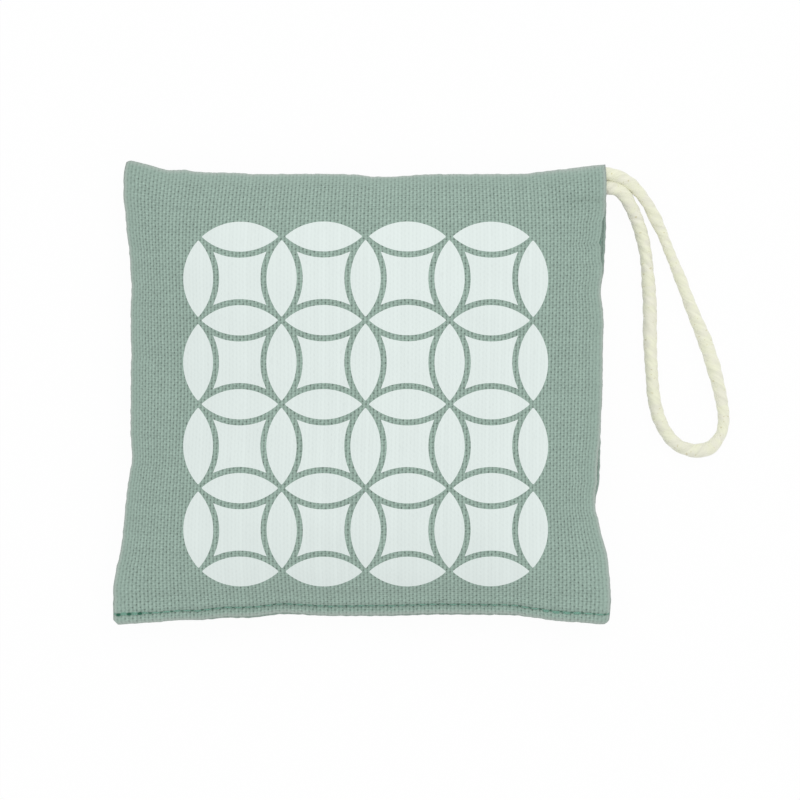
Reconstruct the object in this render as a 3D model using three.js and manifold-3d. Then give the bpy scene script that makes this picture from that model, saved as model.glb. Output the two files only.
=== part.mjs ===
// Lavender sachet: a canvas pouch filled with dried lavender, with a cotton cord loop in one seam.
// Two canvas panels are sewn face to face round three sides, turned and filled. Their lower edges are
// then folded in and closed with one row of lockstitches. Both ends of the cord are caught in the
// right-hand seam, just below the top corner.
// Sizes are in millimetres, with +Z up. The pouch lies on its back. The origin is on the surface
// below the middle of the pouch, +X points to the side with the loop and +Y to the top edge.
import * as THREE from "three";
import { mergeVertices } from "three/addons/utils/BufferGeometryUtils.js";
import Module from "manifold-3d";

const wasm = await Module();
wasm.setup();
const { clamp, lerp, mapLinear, smoothstep } = THREE.MathUtils;

// Pouch outline: four corners, with each edge drawn in between them by the filling.
const BOTTOM_WIDTH = 112.2;
const TOP_WIDTH = 108.9;
const TOP_SHIFT = 1.1; // the middle of the top edge lies this far towards +X
const HEIGHT = 105.3;
const LEFT_DRAW = 2.6;
const RIGHT_DRAW = 1.6;
const TOP_DRAW = 3;
const BOTTOM_DRAW = 2.2;
const DRAW_POWER = 3; // a higher power keeps the edge straight for longer

// Pouch section.
const THICKNESS = 20; // from the surface that it lies on to the top of the crown
const SEAM_HEIGHT = 6; // the plane in which the two panels meet
const BACK_CROWN = 9; // how far the back would swell if nothing flattened it
const CROWN_ACROSS = 2.2; // a higher power keeps the middle flatter and the edges steeper
const CROWN_UP = 3.4;
const CROWN_ROUND = 0.76;
const CANVAS = 0.7; // cloth thickness
const ALLOWANCE = 7; // width of the turned-in edges
const SLIT = 0.3; // between the folded edges of the two panels

// Sewing.
const THREAD = 0.3; // thread diameter
const THREAD_GAP = 0.2; // clearance between a thread and what it passes
const SEAM_INSET = 1.4; // from the pouch edge to the seam on three sides
const SEAM_TURN = 1; // how far from a corner the seam starts to turn
const STITCH_INSET = 2.1; // from the lower edge to the closing stitches
const STITCH_LENGTH = 2.4;
const STITCH_MARGIN = 3; // from a lower corner to the first stitch
const STITCH_BEND = 0.35; // along a stitch, from its hole to where the thread lies flat
const FLAT_BAND = 0.8; // flat canvas between the needle holes and the crown

// Cord.
const CORD = 3; // cord diameter
const CORD_CLEARANCE = 0.3;
const STRAND_GAP = 0.3; // between the two ends where they leave the seam
const EXIT_MARGIN = 1.55; // from the top corner down to the upper end
const TAIL_TRIM = 1; // how much shorter the sewn-in ends are than the turned-in edges
const ROOT = 3.2; // length outside the seam that bends when the loop swings
const CUT_GAP = 0.3; // between the bending root and the free loop
const MOUTH_REACH = 1.3; // how far past the cord the seam is pushed open
const MOUTH_FADE = 8; // over this length the canvas settles again behind the cord
const MOUTH_POWER = 4; // a higher power holds the seam open more evenly across the cord

// Filling.
const FILL_GAP = 0.5;

// Mesh fineness.
const SIDE_STEPS = 8;
const MOUTH_STEPS = 5;
const OUTER_RINGS = 7;
const INNER_RINGS = 5;
const RING_CROWDING = 1.6; // above 1, the rings lie closer together towards the edge
const CORD_SIDES = 8;
const END_STEPS = 6;
const LOOP_STEPS = 64;
const THREAD_SIDES = 4;

// Free cord from the upper end to the lower one: +X and +Y from the middle of the exit, then lift,
// which is 1 at the height of the seam and 0 where the cord lies on the surface.
const LOOP_POINTS = [
  [3.5, 1.05, 1],
  [5.7, -0.45, 0.93],
  [7.9, -2.9, 0.74],
  [9.75, -5.5, 0.5],
  [11.5, -8.5, 0.25],
  [13.2, -11.6, 0.08],
  [14.75, -15.2, 0.01],
  [17.45, -22, 0],
  [20.3, -29.3, 0],
  [23.1, -36.4, 0],
  [25.3, -43.5, 0],
  [26.8, -50.3, 0],
  [27.15, -53.5, 0],
  [26.8, -56.6, 0],
  [25.4, -59.2, 0],
  [23.4, -60.7, 0],
  [21.1, -61.1, 0],
  [18.6, -60.7, 0],
  [16.4, -59.5, 0],
  [14.4, -57.2, 0],
  [12.95, -54.4, 0],
  [11.75, -49.5, 0],
  [11.2, -44.3, 0],
  [10.6, -36, 0],
  [10.35, -27, 0],
  [9.9, -21.5, 0.01],
  [9.35, -16.5, 0.04],
  [8.55, -12.6, 0.18],
  [7.35, -8.7, 0.48],
  [5.7, -5.4, 0.82],
  [3.7, -3, 1],
];

// Values that follow from the sizes above.
const HALF_WIDTH = (BOTTOM_WIDTH + TOP_WIDTH) / 4;
const HALF_HEIGHT = HEIGHT / 2;
const HALF_SLIT = SLIT / 2;
const SEAM_ROOM = THREAD / 2 + THREAD_GAP; // from the seam plane to the turned-in edges behind the slit
const FOLD = 2 * CANVAS; // panel and turned-in edge, pressed together
const FOLD_ROUND = 0.3 * CANVAS;
const STITCH_HOLE = 2 * (THREAD + THREAD_GAP); // a needle hole takes the thread down and up again
const BAND = STITCH_INSET + STITCH_HOLE / 2 + FLAT_BAND;
const FRONT_CROWN = THICKNESS - SEAM_HEIGHT - HALF_SLIT - FOLD;
const CORD_RADIUS = CORD / 2;
const STRAND = (CORD + STRAND_GAP) / 2; // from the middle of the exit to either end
const EXIT_Y = HALF_HEIGHT - EXIT_MARGIN - CORD - STRAND_GAP / 2;
const EXIT_X = rightEdge(EXIT_Y / HALF_HEIGHT);
const TAIL = ALLOWANCE - TAIL_TRIM;
const TACK_INSET = (SEAM_INSET + TAIL) / 2; // from the pouch edge to the extra stitch
const MOUTH_HALF = STRAND + CORD_RADIUS + MOUTH_REACH;
const MOUTH_LIFT = CORD_RADIUS + CORD_CLEARANCE - HALF_SLIT;
const STATIONS = edgeStations();
const FACE_SHEET = insetSheet(CANVAS, BAND);
const HOLLOW_SHEET = insetSheet(FOLD, BAND + CANVAS);
const FILL_REACH = 1 - (ALLOWANCE + FILL_GAP - FOLD) / Math.min(HALF_WIDTH, HALF_HEIGHT);
const FILL_SHARES = ringShares(INNER_RINGS).map((share) => share * FILL_REACH);

// Outline edges, for u or v from -1 to 1 along the edge.
function drawIn(along) {
  return 1 - Math.abs(along) ** DRAW_POWER;
}

function leftEdge(v) {
  const corner = lerp(-BOTTOM_WIDTH / 2, TOP_SHIFT - TOP_WIDTH / 2, (v + 1) / 2);
  return corner + LEFT_DRAW * drawIn(v);
}

function rightEdge(v) {
  const corner = lerp(BOTTOM_WIDTH / 2, TOP_SHIFT + TOP_WIDTH / 2, (v + 1) / 2);
  return corner - RIGHT_DRAW * drawIn(v);
}

function topEdge(u) {
  return HALF_HEIGHT - TOP_DRAW * drawIn(u);
}

function bottomEdge(u) {
  return BOTTOM_DRAW * drawIn(u) - HALF_HEIGHT;
}

// A point of the flat pouch: u runs from the left edge to the right, v from the bottom to the top.
function sheetPoint(u, v) {
  const x = lerp(leftEdge(v), rightEdge(v), (u + 1) / 2);
  const y = lerp(bottomEdge(u), topEdge(u), (v + 1) / 2);
  return [x, y];
}

// The part of the sheet that is left when its three sewn sides and its lower edge are set in.
function insetSheet(side, bottom) {
  return {
    left: side / HALF_WIDTH - 1,
    right: 1 - side / HALF_WIDTH,
    bottom: bottom / HALF_HEIGHT - 1,
    top: 1 - side / HALF_HEIGHT,
  };
}

// Where p and q, each from -1 to 1, fall on such a part.
function onSheet(part, p, q) {
  const u = lerp(part.left, part.right, (p + 1) / 2);
  const v = lerp(part.bottom, part.top, (q + 1) / 2);
  return [u, v];
}

// How full the pouch is at u, v: 0 at the edges of the part and 1 in its middle.
function fullness(part, u, v) {
  const p = clamp(mapLinear(u, part.left, part.right, -1, 1), -1, 1);
  const q = clamp(mapLinear(v, part.bottom, part.top, -1, 1), -1, 1);
  const across = 1 - Math.abs(p) ** CROWN_ACROSS;
  const along = 1 - Math.abs(q) ** CROWN_UP;
  return (across * along) ** CROWN_ROUND;
}

// How far the cord ends push the canvas away from the seam plane at x, y.
function mouthLift(x, y) {
  const across = Math.min(1, Math.abs(y - EXIT_Y) / MOUTH_HALF);
  const settled = smoothstep(EXIT_X - x, TAIL, TAIL + MOUTH_FADE);
  return MOUTH_LIFT * (1 - across ** MOUTH_POWER) * (1 - settled);
}

// Points p, q round the sheet, anticlockwise from the lower left corner, closer where the cord leaves.
function edgeStations() {
  const run = (from, to, count) => Array.from({ length: count }, (_, i) => lerp(from, to, i / count));
  const mouth = (EXIT_Y - MOUTH_HALF) / HALF_HEIGHT;
  const right = [...run(-1, mouth, SIDE_STEPS), ...run(mouth, 1, MOUTH_STEPS)];
  return [
    ...run(-1, 1, SIDE_STEPS).map((p) => [p, -1]),
    ...right.map((q) => [1, q]),
    ...run(1, -1, SIDE_STEPS).map((p) => [p, 1]),
    ...run(1, -1, SIDE_STEPS).map((q) => [-1, q]),
  ];
}

// Shares of the way from the middle to the edge, closer together near the edge.
function ringShares(count) {
  return Array.from({ length: count }, (_, i) => 1 - (1 - (i + 1) / count) ** RING_CROWDING);
}

// A closed surface through rings of points, with a pole at each end. Each quad is split along its
// shorter diagonal as seen from above, so that surfaces that lie over each other are split alike.
function loft(firstPole, rings, lastPole) {
  const round = STATIONS.length;
  const points = [firstPole, ...rings.flat(), lastPole];
  const last = points.length - 1;
  const apart = (i, j) => Math.hypot(points[i][0] - points[j][0], points[i][1] - points[j][1]);
  const faces = [];
  for (let k = 0; k < round; k += 1) {
    const next = (k + 1) % round;
    faces.push(0, 1 + k, 1 + next);
    faces.push(last, last - round + next, last - round + k);
    for (let j = 0; j + 1 < rings.length; j += 1) {
      const [a, b] = [1 + j * round + k, 1 + (j + 1) * round + k];
      const [c, d] = [1 + (j + 1) * round + next, 1 + j * round + next];
      const quad = apart(a, c) < apart(b, d) ? [a, b, c, a, c, d] : [a, b, d, b, c, d];
      faces.push(...quad);
    }
  }
  const geometry = new THREE.BufferGeometry();
  geometry.setAttribute("position", new THREE.Float32BufferAttribute(points.flat(), 3));
  geometry.setIndex(faces);
  return geometry;
}

// A round tube along a curve, with closed ends.
function tube(path, diameter, sides, steps) {
  const corners = Array.from({ length: sides }, (_, i) => {
    const angle = (2 * Math.PI * (i + 0.5)) / sides;
    return new THREE.Vector2(Math.cos(angle), Math.sin(angle)).multiplyScalar(diameter / 2);
  });
  const section = new THREE.Shape(corners);
  return new THREE.ExtrudeGeometry(section, { steps, extrudePath: path, bevelEnabled: false });
}

// Straight runs from point to point; a tube with as many steps has one section at each point.
class PolyLine extends THREE.Curve {
  constructor(points) {
    super();
    this.points = points;
  }

  getPoint(t, target = new THREE.Vector3()) {
    const place = t * (this.points.length - 1);
    const from = Math.min(Math.floor(place), this.points.length - 2);
    return target.lerpVectors(this.points[from], this.points[from + 1], place - from);
  }

  getPointAt(t, target) {
    return this.getPoint(t, target);
  }

  getTangentAt(t, target) {
    return this.getTangent(t, target);
  }
}

// A stretch of a longer curve, between two shares of its length.
class Stretch extends THREE.Curve {
  constructor(whole, from, to) {
    super();
    Object.assign(this, { whole, from, to });
  }

  getPoint(t, target) {
    return this.whole.getPointAt(lerp(this.from, this.to, t), target);
  }
}

// Closed geometry as a solid that can be cut, and back again.
function solid(geometry) {
  const bare = geometry.clone();
  bare.deleteAttribute("normal");
  bare.deleteAttribute("uv");
  const merged = mergeVertices(bare, 1e-4);
  const vertProperties = new Float32Array(merged.attributes.position.array);
  const triVerts = new Uint32Array(merged.index.array);
  return new wasm.Manifold(new wasm.Mesh({ numProp: 3, vertProperties, triVerts }));
}

function geometryOf(body) {
  const { vertProperties, triVerts } = body.getMesh();
  const geometry = new THREE.BufferGeometry();
  geometry.setAttribute("position", new THREE.Float32BufferAttribute(vertProperties, 3));
  geometry.setIndex(new THREE.Uint32BufferAttribute(triVerts, 1));
  return geometry;
}

function cut(geometry, cutters) {
  const body = cutters.reduce((left, cutter) => left.subtract(solid(cutter)), solid(geometry));
  return geometryOf(body);
}

// Places of the needle holes along the lower edge.
function stitchPlaces() {
  const reach = BOTTOM_WIDTH / 2 - STITCH_MARGIN;
  const count = Math.round((2 * reach) / STITCH_LENGTH);
  const v = STITCH_INSET / HALF_HEIGHT - 1;
  const u = (i) => (lerp(-reach, reach, i / count) * 2) / BOTTOM_WIDTH;
  return Array.from({ length: count + 1 }, (_, i) => sheetPoint(u(i), v));
}

// Height of a panel's inner face above the seam plane.
function hollowHeight(crown, limit) {
  return (u, v) => {
    const swell = HALF_SLIT + CANVAS + crown * fullness(HOLLOW_SHEET, u, v);
    return Math.min(limit - CANVAS, swell);
  };
}

// A panel, as heights away from the seam plane: the swelling face, the folded edge, the turned-in
// edge with its lip, and the inner face back to the middle.
function panelRings(crown, limit) {
  const edgeRing = (inset, height) => ({ part: insetSheet(inset, inset), share: 1, height: () => height });
  const face = (u, v) => Math.min(limit, HALF_SLIT + FOLD + crown * fullness(FACE_SHEET, u, v));
  const hollow = hollowHeight(crown, limit);
  const rings = [
    ...ringShares(OUTER_RINGS).map((share) => ({ part: FACE_SHEET, share, height: face })),
    edgeRing(FOLD_ROUND, HALF_SLIT + FOLD),
    edgeRing(0, HALF_SLIT + CANVAS),
    edgeRing(FOLD_ROUND, HALF_SLIT),
    edgeRing(SEAM_INSET - SEAM_ROOM, SEAM_ROOM),
    edgeRing(ALLOWANCE, SEAM_ROOM),
    edgeRing(ALLOWANCE, SEAM_ROOM + CANVAS),
    ...[...FILL_SHARES, 1].reverse().map((share) => ({ part: HOLLOW_SHEET, share, height: hollow })),
  ];
  const point = (ring, p, q) => {
    const [u, v] = onSheet(ring.part, p * ring.share, q * ring.share);
    const [x, y] = sheetPoint(u, v);
    return [x, y, ring.height(u, v) + mouthLift(x, y)];
  };
  const pole = (ring) => point({ ...ring, share: 0 }, 0, 0);
  return {
    first: pole(rings[0]),
    rings: rings.map((ring) => STATIONS.map(([p, q]) => point(ring, p, q))),
    last: pole(rings[rings.length - 1]),
  };
}

function panel(side, crown, limit) {
  const lift = ([x, y, height]) => [x, y, SEAM_HEIGHT + side * height];
  const { first, rings, last } = panelRings(crown, limit);
  const placed = rings.map((ring) => ring.map(lift));
  const geometry =
    side > 0
      ? loft(lift(first), placed, lift(last))
      : loft(lift(last), placed.reverse(), lift(first));
  const holes = stitchPlaces().map(([x, y]) => {
    const depth = 2 * (HALF_SLIT + FOLD + CANVAS);
    return new THREE.BoxGeometry(STITCH_HOLE, STITCH_HOLE, depth).translate(x, y, SEAM_HEIGHT);
  });
  const mouths = [1, -1].map((end) => cordEnd(end, CORD_CLEARANCE));
  return cut(geometry, [...holes, ...mouths]);
}

// The filling takes up the hollow inside the turned-in edges.
function filling() {
  const front = hollowHeight(FRONT_CROWN, THICKNESS);
  const back = hollowHeight(BACK_CROWN, SEAM_HEIGHT);
  const top = (u, v) => SEAM_HEIGHT + front(u, v) - FILL_GAP;
  const under = (u, v) => SEAM_HEIGHT - back(u, v) + FILL_GAP;
  const point = (height, share) => ([p, q]) => {
    const [u, v] = onSheet(HOLLOW_SHEET, p * share, q * share);
    return [...sheetPoint(u, v), height(u, v)];
  };
  const ring = (height, share) => STATIONS.map(point(height, share));
  const rings = [
    ...FILL_SHARES.map((share) => ring(top, share)),
    ...[...FILL_SHARES].reverse().map((share) => ring(under, share)),
  ];
  return loft(point(top, 0)([0, 0]), rings, point(under, 0)([0, 0]));
}

// The seam on three sides, up the left edge, along the top and down the right.
function sideSeam(diameter) {
  const sheet = insetSheet(SEAM_INSET, BAND + CANVAS);
  const turn = 1 - SEAM_TURN / HALF_HEIGHT;
  const run = Array.from({ length: SIDE_STEPS }, (_, i) => lerp(-turn, turn, i / (SIDE_STEPS - 1)));
  const round = [
    ...run.map((q) => [-1, q]),
    ...run.map((p) => [p, 1]),
    ...run.map((q) => [1, -q]),
  ];
  const points = round.map(([p, q]) => {
    const [x, y] = sheetPoint(...onSheet(sheet, p, q));
    return new THREE.Vector3(x, y, SEAM_HEIGHT);
  });
  return tube(new PolyLine(points), diameter, THREAD_SIDES, points.length - 1);
}

// One thread of the closing seam: it lies along its face and dips into every needle hole.
function closingThread(side) {
  const radius = THREAD / 2;
  const lying = HALF_SLIT + FOLD + THREAD_GAP + radius;
  const locked = THREAD_GAP / 2 + radius;
  const places = stitchPlaces();
  const dips = places.flatMap(([x, y], i) => {
    const slope = STITCH_HOLE / 2 - THREAD_GAP - radius;
    const over = slope + STITCH_BEND;
    const steps = [
      [-over, lying],
      [-slope, HALF_SLIT + FOLD],
      [0, locked],
      [slope, HALF_SLIT + FOLD],
      [over, lying],
    ];
    const kept = steps.slice(i === 0 ? 2 : 0, i === places.length - 1 ? 3 : steps.length);
    return kept.map(([along, height]) => new THREE.Vector3(x + along, y, SEAM_HEIGHT + side * height));
  });
  return tube(new PolyLine(dips), THREAD, THREAD_SIDES, dips.length - 1);
}

// A place near the exit: x and y from its middle, lift as in LOOP_POINTS.
function nearExit([x, y, lift]) {
  return new THREE.Vector3(EXIT_X + x, EXIT_Y + y, lerp(CORD_RADIUS, SEAM_HEIGHT, lift));
}

// The whole cord, from the sewn-in upper end round the loop to the sewn-in lower end.
function cordLine(tail) {
  const sewn = (end) => [-tail, -tail / 2, 0].map((x) => [x, end * STRAND, 1]);
  const points = [...sewn(1), ...LOOP_POINTS, ...sewn(-1).reverse()];
  return new THREE.CatmullRomCurve3(points.map(nearExit));
}

// A sewn-in end of the cord with the short root that bends; spare widens it for the opening it needs.
function cordEnd(end, spare = 0) {
  const line = cordLine(TAIL + spare);
  const share = (TAIL + spare + ROOT) / line.getLength();
  const stretch = end > 0 ? new Stretch(line, 0, share) : new Stretch(line, 1 - share, 1);
  return tube(stretch, CORD + 2 * spare, CORD_SIDES, END_STEPS);
}

// The extra stitch runs from the outer half of one cord end to that of the other.
function tackLine(spare = 0) {
  const reach = STRAND + CORD_RADIUS / 2 + spare;
  return new THREE.LineCurve3(nearExit([-TACK_INSET, reach, 1]), nearExit([-TACK_INSET, -reach, 1]));
}

// Holes that the seam and the extra stitch make through a cord end.
function sewnCordEnd(end) {
  const width = THREAD + 2 * THREAD_GAP;
  const seam = sideSeam(width);
  const tack = tube(tackLine(THREAD_GAP), width, THREAD_SIDES, 1);
  return cut(cordEnd(end), [seam, tack]);
}

function hangingLoop() {
  const line = cordLine(TAIL);
  const share = (TAIL + ROOT + CUT_GAP) / line.getLength();
  return tube(new Stretch(line, share, 1 - share), CORD, CORD_SIDES, LOOP_STEPS);
}

// Finishes.
const canvas = new THREE.MeshStandardMaterial({ color: 0x92a79e, roughness: 0.95, metalness: 0 });
const lavender = new THREE.MeshStandardMaterial({ color: 0x6d6488, roughness: 1, metalness: 0 });
const thread = new THREE.MeshStandardMaterial({ color: 0x5f8574, roughness: 0.7, metalness: 0 });
const cotton = new THREE.MeshStandardMaterial({ color: 0xe4e5d4, roughness: 0.9, metalness: 0 });

const sachet = new THREE.Group();

function add(name, geometry, material) {
  const mesh = new THREE.Mesh(geometry, material);
  mesh.name = name;
  sachet.add(mesh);
}

add("front_panel", panel(1, FRONT_CROWN, THICKNESS), canvas);
add("back_panel", panel(-1, BACK_CROWN, SEAM_HEIGHT), canvas);
add("lavender_fill", filling(), lavender);
add("side_seam_thread", sideSeam(THREAD), thread);
add("closing_needle_thread", closingThread(1), thread);
add("closing_bobbin_thread", closingThread(-1), thread);
add("cord_tack_thread", tube(tackLine(), THREAD, THREAD_SIDES, 1), thread);
add("cord_end_upper", sewnCordEnd(1), cotton);
add("cord_end_lower", sewnCordEnd(-1), cotton);
add("hanging_loop", hangingLoop(), cotton);

export default sachet;
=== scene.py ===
"""Lavender sachet: a canvas pouch of dried lavender with a cord loop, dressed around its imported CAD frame.

Sketch values in capitals are millimetres. Meshes and properties are metres.
"""

import math

import bpy
import numpy as np
from bpy.props import FloatProperty, FloatVectorProperty, IntProperty, PointerProperty
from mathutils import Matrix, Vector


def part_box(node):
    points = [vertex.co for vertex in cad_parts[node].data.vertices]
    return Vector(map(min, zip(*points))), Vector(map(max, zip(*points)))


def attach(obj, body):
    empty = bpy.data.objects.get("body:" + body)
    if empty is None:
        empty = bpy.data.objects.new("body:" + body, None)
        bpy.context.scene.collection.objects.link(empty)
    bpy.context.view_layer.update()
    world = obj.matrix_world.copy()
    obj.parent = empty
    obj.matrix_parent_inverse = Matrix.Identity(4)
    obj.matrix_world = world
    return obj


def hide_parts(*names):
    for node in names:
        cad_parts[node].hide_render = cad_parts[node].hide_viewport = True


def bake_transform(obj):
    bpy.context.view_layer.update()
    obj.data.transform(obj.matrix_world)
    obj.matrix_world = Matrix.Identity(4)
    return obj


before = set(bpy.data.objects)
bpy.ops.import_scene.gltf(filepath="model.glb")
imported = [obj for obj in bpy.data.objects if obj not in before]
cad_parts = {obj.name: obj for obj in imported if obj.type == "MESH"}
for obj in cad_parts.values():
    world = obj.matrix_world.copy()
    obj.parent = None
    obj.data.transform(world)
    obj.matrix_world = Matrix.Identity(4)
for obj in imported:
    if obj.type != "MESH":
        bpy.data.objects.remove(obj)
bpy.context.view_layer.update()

bl_info = {
    "name": "Lavender sachet",
    "version": (1, 0, 0),
    "blender": (4, 5, 0),
    "location": "View3D > Sidebar > Sachet",
    "description": "Builds a canvas lavender sachet with a cord loop around its CAD frame",
    "category": "Object",
}

MM = 0.001

# Outline of the pouch as it lies, each edge as listed points from one corner to the next.
LEFT_EDGE = (
    (-52.1, -55.9), (-51.5, -56.35), (-45.0, -56.4), (-40.3, -55.75), (-35.7, -54.7),
    (-31.0, -54.1), (-24.5, -53.5), (-19.8, -52.9), (-14.5, -52.1), (-9.0, -52.45), (0.0, -52.4),
    (6.0, -52.38), (9.2, -52.2), (11.5, -52.4), (19.8, -52.42), (23.0, -52.2), (27.5, -52.45),
    (32.4, -52.75), (35.0, -53.12), (38.5, -53.48), (41.0, -53.62), (44.0, -54.05),
    (48.5, -54.05), (50.6, -53.85), (52.3, -53.45),
)
RIGHT_EDGE = (
    (-52.2, 55.8), (-51.5, 56.25), (-46.6, 56.65), (-42.6, 56.4), (-38.0, 55.97), (-36.2, 55.68),
    (-33.5, 54.85), (-29.0, 53.8), (-25.6, 53.1), (-23.5, 53.4), (-20.0, 54.08), (-13.0, 54.3),
    (-6.0, 54.45), (0.0, 54.75), (12.0, 54.9), (16.0, 55.05), (23.4, 54.4), (27.0, 55.0),
    (30.0, 55.2), (39.0, 55.6), (48.0, 55.6), (51.85, 55.4),
)
BOTTOM_EDGE = (
    (-55.9, -52.1), (-55.2, -52.7), (-54.0, -52.6), (-45.8, -52.05), (-41.0, -51.65), (-36.5, -51.68),
    (-33.5, -51.4), (-30.0, -51.15), (-26.7, -51.22), (-23.0, -50.95), (-19.0, -50.42),
    (-16.5, -50.35), (-13.0, -50.5), (-8.5, -50.72), (-5.0, -50.76), (6.0, -50.75), (11.5, -50.6),
    (17.0, -50.45), (33.0, -50.55), (38.8, -51.05), (44.6, -51.85), (51.7, -52.35), (54.0, -52.6),
    (55.0, -52.6), (55.8, -52.2),
)
TOP_EDGE = (
    (-53.45, 52.3), (-52.6, 52.75), (-51.2, 52.48), (-48.5, 51.8), (-46.7, 51.35),
    (-44.9, 50.72), (-43.0, 50.57), (-40.3, 50.62), (-37.6, 50.22), (-34.0, 50.03), (-29.5, 49.98),
    (-24.0, 49.66), (-10.0, 49.72), (-2.0, 49.6), (3.3, 49.06), (7.5, 49.08), (9.5, 49.25),
    (17.0, 49.65), (36.0, 49.7), (41.5, 50.3), (47.0, 50.9), (52.4, 51.6), (55.4, 51.85),
)

# How far the front cloth stays short of the back cloth along the right edge (up, short by) and the bottom.
RIGHT_SHORT = (
    (-52.2, 0.0), (-26.0, 0.0), (-22.5, 0.45), (-17.0, 0.65), (-13.5, 0.45), (-9.0, 0.1), (0.0, 0.05),
    (20.0, 0.05), (28.0, 0.2), (31.0, 0.75), (33.2, 0.9), (34.2, 1.5), (35.2, 0.95), (38.5, 0.8),
    (41.0, 0.1), (44.0, 0.0), (51.85, 0.0),
)
BOTTOM_SHORT = (
    (-55.9, 0.0), (-40.0, 0.0), (-33.0, 0.3), (-20.0, 0.4), (-8.0, 0.2), (4.0, 0.3), (18.0, 0.35),
    (34.0, 0.3), (40.0, 0.0), (55.8, 0.0),
)

# The cut sheet that each panel is sewn from, its map, and the grid that stands for it.
CUT_WIDTH = 115.0
CUT_HEIGHT = 108.5
UV_SPAN = 120.0
COLUMNS = 192
BAND_ROWS = 16
BAND_DEPTH = 4.8
FIELD_ROWS = 146

# The simulation that fills the pouch: its coarse grid, enlarged, and what the cloth is like.
SIM_COLUMNS = 56
SIM_ROWS = 52
SIM_SCALE = 10.0
SIM_FRAMES = 24
SIM_CAP = 5.0
SIM_HELD = 0.3
SIM_CLOTH = {
    "vertex_group_mass": "sewn",
    "quality": 6,
    "mass": 0.1,
    "tension_stiffness": 40,
    "compression_stiffness": 40,
    "shear_stiffness": 12,
    "bending_stiffness": 4,
    "air_damping": 4,
    "use_pressure": True,
}

# The crown's shape, how far its slopes draw the cloth in, and how deep the edges' dents reach.
CROWN_ACROSS = 2.2
CROWN_UP = 3.4
CROWN_ROUND = 0.76
SLOPE_CROWN = 12.6
STEEP_SIDES = (2.1, 0.9)
STEEP_ENDS = (1.2, 1.3)
DENT_DEPTH = 7.0
DENT_STEPS = 101
SLOPE_STEPS = 801

# How softly the back cloth bends where the table flattens it.
FLOOR_SOFTNESS = 0.5

# The turned edge: the lip's radius, the angles of its rings, the flat beside it, and heights inside.
LIP = 0.6
LIP_ANGLES = (45.0, 80.0)
LIP_FLAT = 0.5
ALLOWANCE = 7.0
INSIDE_HEIGHTS = (0.06, 0.15)

# Soft lumps of the filling, as seeded waves, how far from the seam they set in, and the puckers' reach.
LUMP_SEED = 7
LUMP_WAVES = 14
LUMP_SIZES = (7, 19)
LUMP_PHASE = 6.3
LUMP_DIVISOR = 5
LUMP_START = 3
LUMP_FULL = 14
PUCKER_DEPTH = 4.5

# The closing row of stitches along the bottom, one stitch to four columns of cloth, and the hem under it.
STITCH_INSET = 2.26
STITCH_COLUMNS = 4
GROOVE_WIDTH = 0.75
GROOVE_DEPTH = 0.28
HOLE_WIDTH = 0.52
HOLE_HEIGHT = 0.3
HOLE_DEPTH = 0.14
HEM_HEIGHT = 0.75
HEM_RISE = 0.9
HEM_END = 6
THREAD_TURN = 0.9
THREAD_SIDES = 8

# How far the front lip stands off the back for each millimetre that it stays short, and how far in.
GAPE = 1.2
GAPE_DEPTH = 2.2
BOTTOM_GAPE_DEPTH = GAPE_DEPTH / 1.5

# Width of the rim along the turned edges: loose fibres with a painted sheen on the front, painted shade on
# the back.
PAINTED_RIM_WIDTH = 1.3

# Heights on the cloth's map between which the front lip stands off the back on the right: there the rim
# loses its pale tone and gets a line of painted shade.
LIP_OFF_HEIGHTS = (87.0, 91.0, 101.0, 104.0)

# Where the doubled stitches of the left end stop on the cloth's map.
TACK_END = 11.5

# Creases in the front cloth: both ends, depth and half width.
CREASES = (
    (-48.5, -11.5, -41.0, -19.5, 0.28, 1.5),
    (-50.0, -16.5, -44.5, -22.0, 0.22, 1.3),
    (-47.0, 38.5, -42.0, 43.0, 0.2, 1.4),
    (47.0, -40.0, 43.0, -44.5, 0.2, 1.4),
)

# A thin fold above the stitches, painted as a line of shade: both ends on the cloth's map, and its half
# width.
FOLD_LINE = (76.8, 8.45, 80.0, 9.7)
FOLD_WIDTH = 0.3

# The mouth in the right seam that the cord comes out of.
MOUTH_REACH = 4.6
MOUTH_FADE = 8.0
MOUTH_CLOSE = 2.0

# Route of the loop, from the middle of its mouth: right, up, and share of the seam's height.
EXIT_X = 55.183
EXIT_Y = 47.95
UPPER_TAIL = 1.72
LOWER_TAIL = -1.28
TAIL = 6.0
TAIL_DROP = 1.6
CORD_STEP = 0.36
LOOP_ROUTE = (
    (3.5, 1.02, 1), (5.75, -0.3, 0.93), (8.15, -2.6, 0.74), (10.15, -5.3, 0.5), (11.8, -8.4, 0.25),
    (13.35, -11.55, 0.08), (14.8, -15.2, 0.01), (17.55, -22, 0), (20.3, -29.3, 0), (23.2, -36.4, 0),
    (25.45, -43.5, 0), (27.0, -50.3, 0), (27.4, -53.5, 0), (27.05, -56.6, 0), (25.55, -59.3, 0),
    (23.5, -60.85, 0), (21.15, -61.15, 0), (18.6, -60.7, 0), (16.4, -59.5, 0), (14.4, -57.2, 0),
    (12.9, -54.4, 0), (11.55, -49.5, 0), (11.05, -44.3, 0), (10.6, -36, 0), (10.5, -27, 0),
    (10.1, -21.5, 0.01), (9.6, -16.4, 0.04), (8.75, -12.4, 0.18), (7.4, -8.4, 0.48), (5.7, -4.9, 0.82),
    (3.75, -2.2, 1),
)

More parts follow.
